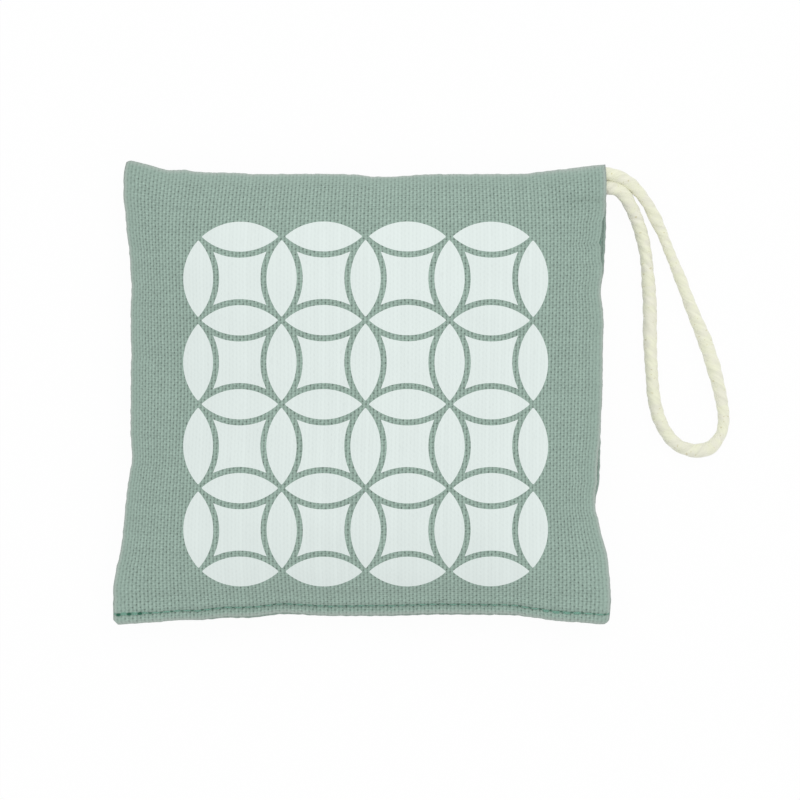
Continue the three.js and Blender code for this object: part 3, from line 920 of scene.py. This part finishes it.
def resample(coarse, s, t):
    """A coarse grid's values at finer rows and columns, by cubics with mean slopes, one way at a time."""

    def weights(count, wanted):
        at = wanted * (count - 1)
        i = np.clip(at.astype(int), 0, count - 2)
        f = at - i
        matrix = np.zeros((len(wanted), count))
        row = np.arange(len(wanted))
        shares = (
            -0.5 * f + f**2 - 0.5 * f**3,
            1 - 2.5 * f**2 + 1.5 * f**3,
            0.5 * f + 2 * f**2 - 1.5 * f**3,
            -0.5 * f**2 + 0.5 * f**3,
        )
        for offset, share in zip((-1, 0, 1, 2), shares):
            np.add.at(matrix, (row, np.clip(i + offset, 0, count - 1)), share)
        return matrix

    up = weights(coarse.shape[0], t)
    across = weights(coarse.shape[1], s)
    return np.einsum("ri,ijk,cj->rck", up, coarse, across)


def fill_pouch(pouch):
    """The two cloths filled by a simulation: both cut sheets, sewn along the outline, swell under pressure.

    The seam and the stitched band are held where the outline puts them. The sheets are cut larger than the
    outline, so the spare cloth crowns and puckers as it does on the sewn pouch.
    Returns how far each coarse point moved from the plain crown, in millimetres, front and back.
    """
    s, t = sheet_grid(SIM_COLUMNS, np.linspace(0, 1, SIM_ROWS + 1))
    rows, columns = s.shape
    flat = lie(s, t)
    crown = fullness(*spread(s, t))
    front = np.dstack((flat, pouch.front_crown / MM * crown)).reshape(-1, 3)
    back = np.dstack((flat, -pouch.front_crown / MM * crown)).reshape(-1, 3)
    ring = rim(rows, columns)
    inner = np.setdiff1d(np.arange(rows * columns), ring)
    number = np.arange(rows * columns)
    number[inner] = rows * columns + np.arange(len(inner))
    faces, _ = quads(rows, columns)
    start = np.concatenate((front, back[inner]))
    cut = np.dstack(((s - 0.5) * CUT_WIDTH, (t - 0.5) * CUT_HEIGHT, np.zeros_like(s))).reshape(-1, 3)
    rest = np.concatenate((cut, cut[inner]))
    mesh = bpy.data.meshes.new("filling")
    both = np.concatenate((faces, number[faces][:, ::-1]))
    mesh.from_pydata(start * MM * SIM_SCALE, [], both.tolist())
    bag = add_object("filling", mesh)
    bag.shape_key_add(name="laid")
    sheet = bag.shape_key_add(name="cut")
    sheet.data.foreach_set("co", (rest * MM * SIM_SCALE).ravel())
    held = bag.vertex_groups.new(name="sewn")
    band = np.flatnonzero(t.ravel() * CUT_HEIGHT < STITCH_INSET + SIM_HELD)
    held.add(np.unique(np.concatenate((ring, band, number[band]))).tolist(), 1.0, "REPLACE")
    cloth = bag.modifiers.new("cloth", "CLOTH").settings
    for setting, value in SIM_CLOTH.items():
        setattr(cloth, setting, value)
    cloth.rest_shape_key = sheet
    cloth.uniform_pressure_force = pouch.pressure
    cloth.effector_weights.gravity = 0
    scene = bpy.context.scene
    for step in range(1, SIM_FRAMES + 1):
        scene.frame_set(step)
    swollen = bag.evaluated_get(bpy.context.evaluated_depsgraph_get()).data
    moved = points_of(swollen) / SIM_SCALE - start
    scene.frame_set(1)
    bpy.data.objects.remove(bag)
    bpy.data.meshes.remove(mesh)
    reach = np.linalg.norm(moved, axis=1, keepdims=True)
    moved *= np.minimum(1, SIM_CAP / np.maximum(reach, 1e-9))
    return moved[: rows * columns].reshape(rows, columns, 3), moved[number].reshape(rows, columns, 3)


def mouth(x, y):
    """Share of the mouth's lift: a flat-topped swell along the right seam, which the top seam holds closed.

    It fades into the pouch.
    """
    along = np.clip(1 - ((y - EXIT_Y) / MOUTH_REACH) ** 4, 0, 1)
    top = through(TOP_EDGE, np.clip(x, TOP_EDGE[0][0], TOP_EDGE[-1][0]))
    return along * smooth(top - y, 0, MOUTH_CLOSE) * (1 - smooth(EXIT_X - x, TAIL, TAIL + MOUTH_FADE))


def lumps(x, y):
    """Soft lumps, as a sum of slanting waves with seeded directions and phases, between about -1 and 1."""
    chance = np.random.default_rng(LUMP_SEED)
    total = np.zeros_like(x)
    for count in range(LUMP_WAVES):
        way = chance.uniform(0, 2 * np.pi)
        size = chance.uniform(*LUMP_SIZES)
        along = x * np.cos(way) + y * np.sin(way)
        total += np.cos(2 * np.pi * along / size + chance.uniform(0, LUMP_PHASE))
    return total / LUMP_DIVISOR


def puckers(s, t):
    """Short folds that run in from the turned seams: waves along each seam that fade away from it."""

    def row(along, away, phase):
        wave = np.sin(along * 0.83 + 1.7 * np.sin(along * 0.21 + phase) + phase)
        return wave * np.exp(-((away / PUCKER_DEPTH) ** 2)) * smooth(away, 0.2, 1.8)

    x = s * CUT_WIDTH
    y = t * CUT_HEIGHT
    return row(y, x, 0.4) + row(y, CUT_WIDTH - x, 2.1) + row(x, CUT_HEIGHT - y, 4.0)


def creases(x, y):
    """Depth of the front cloth's creases, in millimetres: a narrow trough along each listed line."""
    depth = np.zeros_like(x)
    for *line, deep, wide in CREASES:
        along, beside = from_line(x, y, *line)
        fade = smooth(along, -0.2, 0.25) * smooth(1 - along, -0.2, 0.25)
        depth += deep * fade * np.exp(-((beside / wide) ** 2))
    return depth


def stitched_band(s, t):
    """Height of the hem under the stitches: a flat band with a groove, deeper at each needle hole."""
    y = t * CUT_HEIGHT
    column = s * COLUMNS
    hole = 0.5 + 0.5 * np.cos(2 * np.pi * (column / STITCH_COLUMNS - 0.5))
    hem = HEM_HEIGHT * smooth(y, 0, HEM_RISE) * (1 - smooth(y, STITCH_INSET, HEM_END))
    groove = np.exp(-(((y - STITCH_INSET) / GROOVE_WIDTH) ** 2))
    return hem - (GROOVE_DEPTH + HOLE_DEPTH * hole) * groove


def panel_points(pouch, moved, side):
    """A panel's grid as it lies, in millimetres: the outline, its crown, and what the simulation moved.

    side is 1 for the front cloth, above the seam, and -1 for the back cloth, which the table flattens.
    """
    shares = rows_of_cloth()
    s, t = sheet_grid(COLUMNS, shares)
    flat = lie(s, t, side)
    crown = (pouch.front_crown if side > 0 else pouch.back_crown) / MM
    rise = crown * fullness(*spread(s, t))
    if moved is not None:
        fine = resample(moved, np.linspace(0, 1, COLUMNS + 1), shares)
        flat = flat + fine[..., :2]
        rise = rise + side * fine[..., 2] * (crown / (pouch.front_crown / MM))
    x = flat[..., 0]
    y = flat[..., 1]
    away = np.minimum(np.minimum(s, 1 - s) * CUT_WIDTH, np.minimum(t, 1 - t) * CUT_HEIGHT)
    rise = rise + pouch.lump / MM * lumps(x, y) * smooth(away, LUMP_START, LUMP_FULL)
    rise = rise + pouch.pucker / MM * puckers(s, t) + stitched_band(s, t)
    rise = rise + pouch.mouth / MM * mouth(x, y)
    if side > 0:
        rise = rise + gape(s, t) - creases(x, y)
    z = pouch.seam_height / MM + side * (LIP + rise)
    if side < 0:
        z = 0.5 * (z + np.sqrt(z**2 + FLOOR_SOFTNESS**2))
    return np.dstack((x, y, z)), s, t


def gape(s, t):
    """How far the front lip stands off the back, in millimetres: most at the edge, where it is shortest."""
    right = through(RIGHT_SHORT, edge(RIGHT_EDGE, t, True)[..., 1])
    bottom = through(BOTTOM_SHORT, edge(BOTTOM_EDGE, s, False)[..., 0])
    right = right * np.exp(-(((1 - s) * CUT_WIDTH / GAPE_DEPTH) ** 2))
    bottom = bottom * np.exp(-((t * CUT_HEIGHT / BOTTOM_GAPE_DEPTH) ** 2))
    return GAPE * (right + bottom)


def turned_edge(pouch, s, t, side):
    """The edge that is turned in at the seam, as rings round the rim: half a round, then flat inside.

    Each ring is the outline drawn in by its own inset, and its height falls from the lip to the seam.
    """
    turn = np.radians(LIP_ANGLES)
    inset = np.concatenate((LIP * (1 - np.cos(turn)), (LIP + LIP_FLAT, ALLOWANCE)))
    height = np.concatenate((LIP * (1 - np.sin(turn)), INSIDE_HEIGHTS))
    ring = rim(*s.shape)
    s_in = drawn_in(s.ravel()[ring], inset[:, None], CUT_WIDTH)
    t_in = drawn_in(t.ravel()[ring], inset[:, None], CUT_HEIGHT)
    flat = lie(s_in, t_in, side)
    lift = pouch.mouth / MM * mouth(flat[..., 0], flat[..., 1])
    if side > 0:
        lift = lift + gape(s_in, t_in)
    z = pouch.seam_height / MM + side * (height[:, None] + lift)
    return np.dstack((flat, z)), s_in, t_in


def cloth_place(s, t):
    """A point's place on the cloth's map."""
    x = (UV_SPAN - CUT_WIDTH) / 2 + s * CUT_WIDTH
    y = (UV_SPAN - CUT_HEIGHT) / 2 + t * CUT_HEIGHT
    return np.stack((x, y), -1) / UV_SPAN


def make_panel(name, pouch, moved, side, material):
    """One panel: the grid of cloth, its turned edge, and a wall as thick as the canvas."""
    field, s, t = panel_points(pouch, moved, side)
    edges, s_in, t_in = turned_edge(pouch, s, t, side)
    grid_faces, _ = quads(*s.shape)
    ring = rim(*s.shape)
    count = len(ring)
    numbers = np.concatenate((ring[None], s.size + np.arange(len(edges) * count).reshape(-1, count)))
    following = np.roll(numbers, -1, axis=1)
    edge_faces = np.stack((numbers[:-1], numbers[1:], following[1:], following[:-1]), -1).reshape(-1, 4)
    points = np.concatenate((field.reshape(-1, 3), edges.reshape(-1, 3)))
    shares = [np.concatenate((a.ravel(), b.ravel())) for a, b in ((s, s_in), (t, t_in))]
    place = cloth_place(*shares)
    faces = np.concatenate((grid_faces, edge_faces))
    if side < 0:
        faces = faces[:, ::-1]
    piece = make_piece(name, points, [faces], material, ("cloth", [place[faces]]))
    add_wall(piece, "canvas", pouch.cloth)
    return piece


def cloth_grid(name, side=1):
    """The points of a finished panel's grid, in millimetres, and its outward normals.

    side is 1 for the front cloth and -1 for the back.
    """
    shape = (BAND_ROWS + FIELD_ROWS, COLUMNS + 1, 3)
    points = points_of(bpy.data.objects[name].data)
    field = points[: shape[0] * shape[1]].reshape(shape)
    return field, side * unit(np.cross(np.gradient(field, axis=1), np.gradient(field, axis=0)))


def on_cloth(grid, s, t):
    """A grid's values at shares s and t, in straight lines between its points."""
    shares = rows_of_cloth()
    r = np.clip(np.searchsorted(shares, t, side="right") - 1, 0, len(shares) - 2)
    f = ((t - shares[r]) / (shares[r + 1] - shares[r]))[..., None]
    column = np.clip(s, 0, 1) * COLUMNS
    c = np.clip(column.astype(int), 0, COLUMNS - 1)
    g = (column - c)[..., None]
    low = (1 - g) * grid[r, c] + g * grid[r, c + 1]
    high = (1 - g) * grid[r + 1, c] + g * grid[r + 1, c + 1]
    return (1 - f) * low + f * high


def cord_line(cord):
    """The cord's centre line, in millimetres: close points from one sewn end round the loop to the other.

    A cubic with mean slopes runs through the route's points, by the distance between them, and its height
    is mixed from the cord's radius there, on the table, to the seam's height.
    """
    tails = np.array((-TAIL, -TAIL / 2, 0.0))
    drop = TAIL_DROP * (tails / TAIL) ** 2
    upper = np.stack((tails, UPPER_TAIL - drop, np.ones(3)), -1)
    lower = np.stack((tails, LOWER_TAIL - drop, np.ones(3)), -1)[::-1]
    route = np.concatenate((upper, np.array(LOOP_ROUTE, float), lower))
    radius = cord.diameter / MM / 2
    lift = frame_seam() - radius
    points = route * (1, 1, lift) + (EXIT_X, EXIT_Y, 0)
    far = distances(points)
    wanted = np.linspace(0, far[-1], int(far[-1] / CORD_STEP))
    line = np.stack([through(np.stack((far, along), -1), wanted, np.gradient) for along in points.T], -1)
    lowest = radius * (through(SWELL, wanted) + SWELL_WAVES)
    line[:, 2] = lowest + line[:, 2] / lift * (frame_seam() - lowest)
    return line


def frame_seam():
    """Height of the seam line in the CAD frame, midway between the two panels, in millimetres."""
    return (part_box("front_panel")[0].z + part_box("back_panel")[1].z) / 2 / MM


# Operators, one for each piece or group of pieces.


class SACHET_OT_stage(bpy.types.Operator):
    """Camera above the table, soft studio light and a plain pale floor."""

    bl_idname = "sachet.stage"
    bl_label = "Stage"

    def execute(self, context):
        stage = context.scene.sachet.stage
        scene = context.scene
        scene.view_settings.view_transform = "Standard"
        camera = bpy.data.cameras.new("camera")
        camera.sensor_width = SENSOR
        camera.lens = SENSOR * CAMERA_HEIGHT / VIEW_WIDTH
        camera.clip_end = CLIP_END
        scene.camera = add_object("camera", camera)
        scene.camera.location = (VIEW_X * MM, VIEW_Y * MM, (CAMERA_HEIGHT + frame_seam()) * MM)
        self.lamp("key", KEY_PLACE, KEY_SIZE, stage.key)
        self.floor(stage)
        self.sky(scene, stage)
        return {"FINISHED"}

    def lamp(self, name, place, size, power):
        light = bpy.data.lights.new(name, "AREA")
        light.size = size
        light.energy = power
        lamp = add_object(name, light)
        lamp.location = place
        lamp.rotation_euler = (math.atan2(-place[1], place[2]), math.atan2(place[0], place[2]), 0)

    def floor(self, stage):
        """A wide flat grid. The camera sees it nearly white, with the object's shadow kept."""
        finish = Finish("pale floor", Roughness=0.9, Specular_IOR_Level=0.1)
        finish.shader.inputs["Base Color"].default_value = rgba(stage.floor_colour)
        rays = [finish.node("ShaderNodeLightPath", None, None, kind) for kind in
                ("Is Camera Ray", "Is Glossy Ray", "Is Transmission Ray")]
        seen = finish.maths("MAXIMUM", finish.maths("MAXIMUM", rays[0], rays[1]), rays[2])
        glow = finish.node("ShaderNodeEmission", None, {"Color": (1, 1, 1, 1), "Strength": 1.0})
        mixed = finish.node("ShaderNodeMixShader", None, {0: FLOOR_GLOW * seen, 2: glow})
        finish.tree.links.new(finish.shader.outputs[0], mixed.socket.node.inputs[1])
        out = next(n for n in finish.tree.nodes if n.type == "OUTPUT_MATERIAL")
        finish.tree.links.new(mixed.socket, out.inputs["Surface"])
        side = np.linspace(-FLOOR_REACH, FLOOR_REACH, 3)
        x, y = np.meshgrid(side, side)
        points = np.dstack((x, y, np.zeros_like(x))).reshape(-1, 3)
        make_piece("floor", points, [quads(3, 3)[0]], finish.material)

    def sky(self, scene, stage):
        """Even light of the sky's strength, seen by the camera as white."""
        world = bpy.data.worlds.new("studio")
        world.use_nodes = True
        scene.world = world
        nodes = world.node_tree.nodes
        paths = nodes.new("ShaderNodeLightPath")
        strength = nodes.new("ShaderNodeMix")
        strength.inputs["A"].default_value = stage.sky
        strength.inputs["B"].default_value = 1.0
        world.node_tree.links.new(paths.outputs["Is Camera Ray"], strength.inputs["Factor"])
        ground = nodes["Background"]
        ground.inputs["Color"].default_value = (1, 1, 1, 1)
        world.node_tree.links.new(strength.outputs["Result"], ground.inputs["Strength"])


class SACHET_OT_cord_loop(bpy.types.Operator):
    """Three-strand cotton cord: one loop on the table with both ends sewn into the right seam."""

    bl_idname = "sachet.cord_loop"
    bl_label = "Cord loop"

    GROOVE = 0.085
    SIDES = 30

    def execute(self, context):
        cord = context.scene.sachet.cord
        line = cord_line(cord)
        turn = cord.turn / MM
        outer = cord.diameter / MM / 2

        def strands(angle, along):
            """Radius of three twisted strands: full on each strand, with a narrow groove between two.

            The twist is tighter in some places than in others, and the strands swell and thin a little.
            """
            twist = 2 * np.pi * along / turn + 0.7 * np.sin(along / 5.3) + 0.4 * np.sin(along / 2.9 + 1)
            wave = np.abs(np.sin(1.5 * (angle - twist)))
            ripple = SWELL_WAVES / 2 * (np.sin(along / 2.1) + np.sin(along / 0.93 + 2 * angle))
            return outer * (through(SWELL, along) + ripple) * (1 - self.GROOVE * wave**4)

        points, faces, maps = tube(line, strands, turn, self.SIDES)
        piece = make_piece("cord_loop", points, faces, cord_finish(cord), ("cord", maps))
        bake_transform(piece)
        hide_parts("hanging_loop", "cord_end_upper", "cord_end_lower")
        return {"FINISHED"}


class SACHET_OT_canvas_panels(bpy.types.Operator):
    """Front and back canvas, filled by a cloth simulation, with turned edges and a stitched hem."""

    bl_idname = "sachet.canvas_panels"
    bl_label = "Canvas panels"

    def execute(self, context):
        settings = context.scene.sachet
        pouch = settings.pouch
        swollen = fill_pouch(pouch)
        for name, node, moved, side, painted_rim_colour, lip_shade in (
            # The front's rim colour is fuzz with painted sheen; the back's rim colour is painted shade.
            ("front_canvas", "front_panel", swollen[0], 1, pouch.painted_rim_colour, 0.6),
            ("back_canvas", "back_panel", swollen[1], -1, pouch.shaded_rim_colour, 0.0),
        ):
            material = canvas_finish(name.replace("_", " "), pouch, settings.sewing, painted_rim_colour, lip_shade)
            piece = make_panel(name, pouch, moved, side, material)
            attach(piece, "pouch")
            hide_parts(node)
        return {"FINISHED"}


class SACHET_OT_front_print(bpy.types.Operator):
    """A square lattice of printed petals with a hollow-sided star in each cell, as a thin film."""

    bl_idname = "sachet.front_print"
    bl_label = "Front print"

    LENGTHS = 26
    BREADTHS = 9
    SPOKES = 48
    RINGS = 6
    BLUNT = 0.985
    HUB = 0.12
    BACKING = 1.5
    MENDS = 12

    def petals(self, pitch, gap, cells):
        """Petals on the lattice's lines: the lens that two circles round neighbouring cells' middles share.

        At a along a petal its half width is sqrt((R - gap)^2 - a^2) - pitch / 2, with R = pitch / sqrt(2).
        """
        radius = pitch / math.sqrt(2) - gap
        tip = math.sqrt(radius**2 - pitch**2 / 4)
        lengths = np.linspace(-self.BLUNT, self.BLUNT, self.LENGTHS) * tip
        a, b = np.meshgrid(lengths, np.linspace(-1, 1, self.BREADTHS), indexing="ij")
        petal = np.dstack((a, b * (np.sqrt(radius**2 - a**2) - pitch / 2)))
        lines, middles = np.meshgrid(self.centred(cells + 1), self.centred(cells), indexing="ij")
        level = np.stack((middles, lines), -1).reshape(-1, 1, 1, 2) * pitch + petal
        upright = np.stack((lines, middles), -1).reshape(-1, 1, 1, 2) * pitch + petal[..., ::-1] * (-1, 1)
        return np.concatenate((level, upright))

    def centred(self, count):
        """Numbers one apart, with 0 in their middle."""
        return np.arange(count) - (count - 1) / 2

    def stars(self, pitch, room, cells):
        """A star in each cell, which keeps clear of the circles round the four neighbouring cells' middles.

        At angle w from the nearest lattice line its reach is
        pitch cos w - sqrt((R + room)^2 - (pitch sin w)^2), with R = pitch / sqrt(2).
        """
        share = np.linspace(self.HUB, 1, self.RINGS)[:, None]
        turn = np.arange(self.SPOKES) / self.SPOKES * 2 * np.pi
        w = (turn + np.pi / 4) % (np.pi / 2) - np.pi / 4
        reach = pitch * np.cos(w) - np.sqrt((pitch / math.sqrt(2) + room) ** 2 - (pitch * np.sin(w)) ** 2)
        spot = np.dstack((share * reach * np.cos(turn), share * reach * np.sin(turn)))
        middles = np.meshgrid(self.centred(cells), self.centred(cells), indexing="ij")
        return np.stack(middles, -1).reshape(-1, 1, 1, 2) * pitch + spot

    def execute(self, context):
        settings = context.scene.sachet
        printing = settings.printing
        cells = printing.cells
        gap = printing.gap / MM
        pitch = (printing.block / MM + 2 * gap) / (cells + math.sqrt(2) - 1)
        petals = self.petals(pitch, gap, cells)
        stars = self.stars(pitch, printing.star_room / MM, cells)
        petal_faces = quads(self.LENGTHS, self.BREADTHS)[0][:, ::-1]
        star_faces = quads(self.RINGS, self.SPOKES, True)[0][:, ::-1]
        hub = np.arange(self.SPOKES)[None, :]
        petal_at = np.arange(len(petals))[:, None, None] * (self.LENGTHS * self.BREADTHS)
        star_at = petals.size // 2 + np.arange(len(stars))[:, None, None] * (self.RINGS * self.SPOKES)
        faces = [
            (petal_faces + petal_at).reshape(-1, 4),
            (star_faces + star_at).reshape(-1, 4),
            (hub + star_at).reshape(-1, self.SPOKES),
        ]
        flat = np.concatenate((petals.reshape(-1, 2), stars.reshape(-1, 2)))
        flat = flat + np.array((printing.centre_x, printing.centre_y)) / MM
        field, normal = cloth_grid("front_canvas")
        s, t = self.on_sheet(flat, field)
        points = on_cloth(field, s, t) + on_cloth(normal, s, t) * (printing.film / MM)
        place = cloth_place(s, t)
        material = ink_finish(settings.pouch, printing)
        piece = make_piece("front_print", points, faces, material, ("cloth", [place[f] for f in faces]))
        crisp_rim(piece.data)
        add_wall(piece, "film", printing.film * self.BACKING)
        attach(piece, "pouch")
        return {"FINISHED"}

    def on_sheet(self, flat, field):
        """Shares s and t of the cloth over points on the table: each step mends what is still off."""
        size = np.array((CUT_WIDTH, CUT_HEIGHT))
        share = flat / size + 0.5
        for step in range(self.MENDS):
            share = share + (flat - on_cloth(field, share[:, 0], share[:, 1])[:, :2]) / size
        return share[:, 0], share[:, 1]


class SACHET_OT_closing_stitches(bpy.types.Operator):
    """The row of lockstitches that closes the bottom: one thread on the front and one on the back."""

    bl_idname = "sachet.closing_stitches"
    bl_label = "Closing stitches"

    STEPS = 10
    STITCHES = COLUMNS // STITCH_COLUMNS - 1
    # First and last stitch of each pass, and how far it lies above the row.
    PASSES = ((-0.4, STITCHES + 0.4, 0.0), (-0.3, 2.4, 0.3), (STITCHES - 5.7, STITCHES - 2.2, -0.3))

    def row(self, panel, side, thread, first, last, higher):
        """Centre line of a row of stitches: it arches over the cloth between two holes and dips in at each.

        The height over the cloth is a share of the thread's width, from |sin| of the stitch's phase, raised
        to a power in the doubled stitches at the left end, which are pulled tighter.
        """
        field, normal = cloth_grid(panel, side)
        phase = np.linspace(first, last, int((last - first) * self.STEPS) + 1)
        s = (phase + 0.5) * STITCH_COLUMNS / COLUMNS
        t = np.full_like(s, (STITCH_INSET + higher) / CUT_HEIGHT)
        wobble = np.sin(np.pi * np.floor(phase) * 1.37) * 0.05
        tight = 1.9 - 0.9 * smooth(phase, 2.2, 3.6)
        lift = np.abs(np.sin(np.pi * phase)) ** tight
        over = thread * (1.1 * lift - 1.0)
        line = on_cloth(field, s, t) + on_cloth(normal, s, t) * over[:, None]
        line[:, 1] += wobble * lift
        return line

    def execute(self, context):
        settings = context.scene.sachet
        thread = settings.sewing.thread / MM
        material = thread_finish(settings.sewing)
        for name, node, panel, side in (
            ("closing_stitches_front", "closing_needle_thread", "front_canvas", 1),
            ("closing_stitches_back", "closing_bobbin_thread", "back_canvas", -1),
        ):
            lines = [self.row(panel, side, thread, *span) for span in self.PASSES]
            points, faces, maps = join([thread_tube(line, thread) for line in lines])
            piece = make_piece(name, points, faces, material, ("thread", maps))
            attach(piece, "pouch")
            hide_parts(node)
        return {"FINISHED"}


class SACHET_OT_seam_threads(bpy.types.Operator):
    """The threads inside the seams: a plain one along three sides, and the CAD's that tacks the cord."""

    bl_idname = "sachet.seam_threads"
    bl_label = "Seam threads"

    INSET = 1.6
    TURN = 3.0
    STEPS = 120

    def line(self, height):
        """Centre line of the side seam: up the left edge, along the top and down the right."""
        run = np.linspace(self.TURN / CUT_HEIGHT, 1 - self.TURN / CUT_HEIGHT, self.STEPS)
        level = np.full_like(run, 1 - self.INSET / CUT_HEIGHT)
        beside = np.full_like(run, self.INSET / CUT_WIDTH)
        flat = lie(np.concatenate((beside, run, 1 - beside)), np.concatenate((run, level, run[::-1])))
        return np.column_stack((flat, np.full(len(flat), height)))

    def execute(self, context):
        settings = context.scene.sachet
        material = seam_thread_finish(settings.sewing)
        line = self.line(settings.pouch.seam_height / MM)
        points, faces, maps = thread_tube(line, settings.sewing.thread / MM)
        seam = make_piece("side_seam_stitches", points, faces, material, ("thread", maps))
        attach(seam, "pouch")
        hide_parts("side_seam_thread")
        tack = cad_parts["cord_tack_thread"]
        tack.data.materials.clear()
        tack.data.materials.append(material)
        return {"FINISHED"}


class SACHET_OT_lavender_fill(bpy.types.Operator):
    """The lavender inside: a pillow of buds that follows both cloths from within."""

    bl_idname = "sachet.lavender_fill"
    bl_label = "Lavender fill"

    ROWS = 70
    ACROSS = 76
    MARGIN = 8.2
    ROOM = 1.1
    BUD = 0.3

    def execute(self, context):
        """Each cloth's grid, drawn in from the seams and offset inwards, with small buds on it."""
        s, t = sheet_grid(self.ACROSS - 1, np.linspace(0, 1, self.ROWS))
        s = drawn_in(s, self.MARGIN, CUT_WIDTH)
        t = drawn_in(t, self.MARGIN, CUT_HEIGHT)
        bud = self.BUD * np.sin(1.9 * s * CUT_WIDTH + 0.8 * t * CUT_HEIGHT) * np.sin(2.1 * t * CUT_HEIGHT)
        sheets = []
        for panel, side in (("front_canvas", 1), ("back_canvas", -1)):
            field, normal = cloth_grid(panel, side)
            depth = (self.ROOM + self.BUD + bud)[..., None]
            sheets.append(on_cloth(field, s, t) - on_cloth(normal, s, t) * depth)
        points = np.concatenate([sheet.reshape(-1, 3) for sheet in sheets])
        faces, _ = quads(*s.shape)
        ring = rim(*s.shape)
        after = np.roll(ring, -1)
        size = s.size
        wall = np.stack((ring, ring + size, after + size, after), -1)
        finish = bud_finish(context.scene.sachet.pouch)
        piece = make_piece("lavender_buds", points, [faces, faces[:, ::-1] + size, wall], finish)
        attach(piece, "pouch")
        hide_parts("lavender_fill")
        return {"FINISHED"}


class SACHET_PT_pieces(bpy.types.Panel):
    """Lists the sachet's pieces in the order in which they are made."""

    bl_idname = "SACHET_PT_pieces"
    bl_label = "Lavender sachet"
    bl_space_type = "VIEW_3D"
    bl_region_type = "UI"
    bl_category = "Sachet"

    def draw(self, context):
        for operator in OPERATORS:
            self.layout.operator(operator.bl_idname)


OPERATORS = (
    SACHET_OT_stage,
    SACHET_OT_cord_loop,
    SACHET_OT_canvas_panels,
    SACHET_OT_front_print,
    SACHET_OT_closing_stitches,
    SACHET_OT_seam_threads,
    SACHET_OT_lavender_fill,
)
GROUPS = (PouchSettings, PrintSettings, SewingSettings, CordSettings, StageSettings, SachetSettings)


def register():
    for kind in (*GROUPS, *OPERATORS, SACHET_PT_pieces):
        bpy.utils.register_class(kind)
    bpy.types.Scene.sachet = PointerProperty(type=SachetSettings)


def unregister():
    del bpy.types.Scene.sachet
    for kind in reversed((*GROUPS, *OPERATORS, SACHET_PT_pieces)):
        bpy.utils.unregister_class(kind)


def main():
    register()
    bpy.ops.sachet.stage()
    bpy.ops.sachet.cord_loop()
    bpy.ops.sachet.canvas_panels()
    bpy.ops.sachet.front_print()
    bpy.ops.sachet.closing_stitches()
    bpy.ops.sachet.seam_threads()
    bpy.ops.sachet.lavender_fill()


if __name__ == "__main__":
    main()
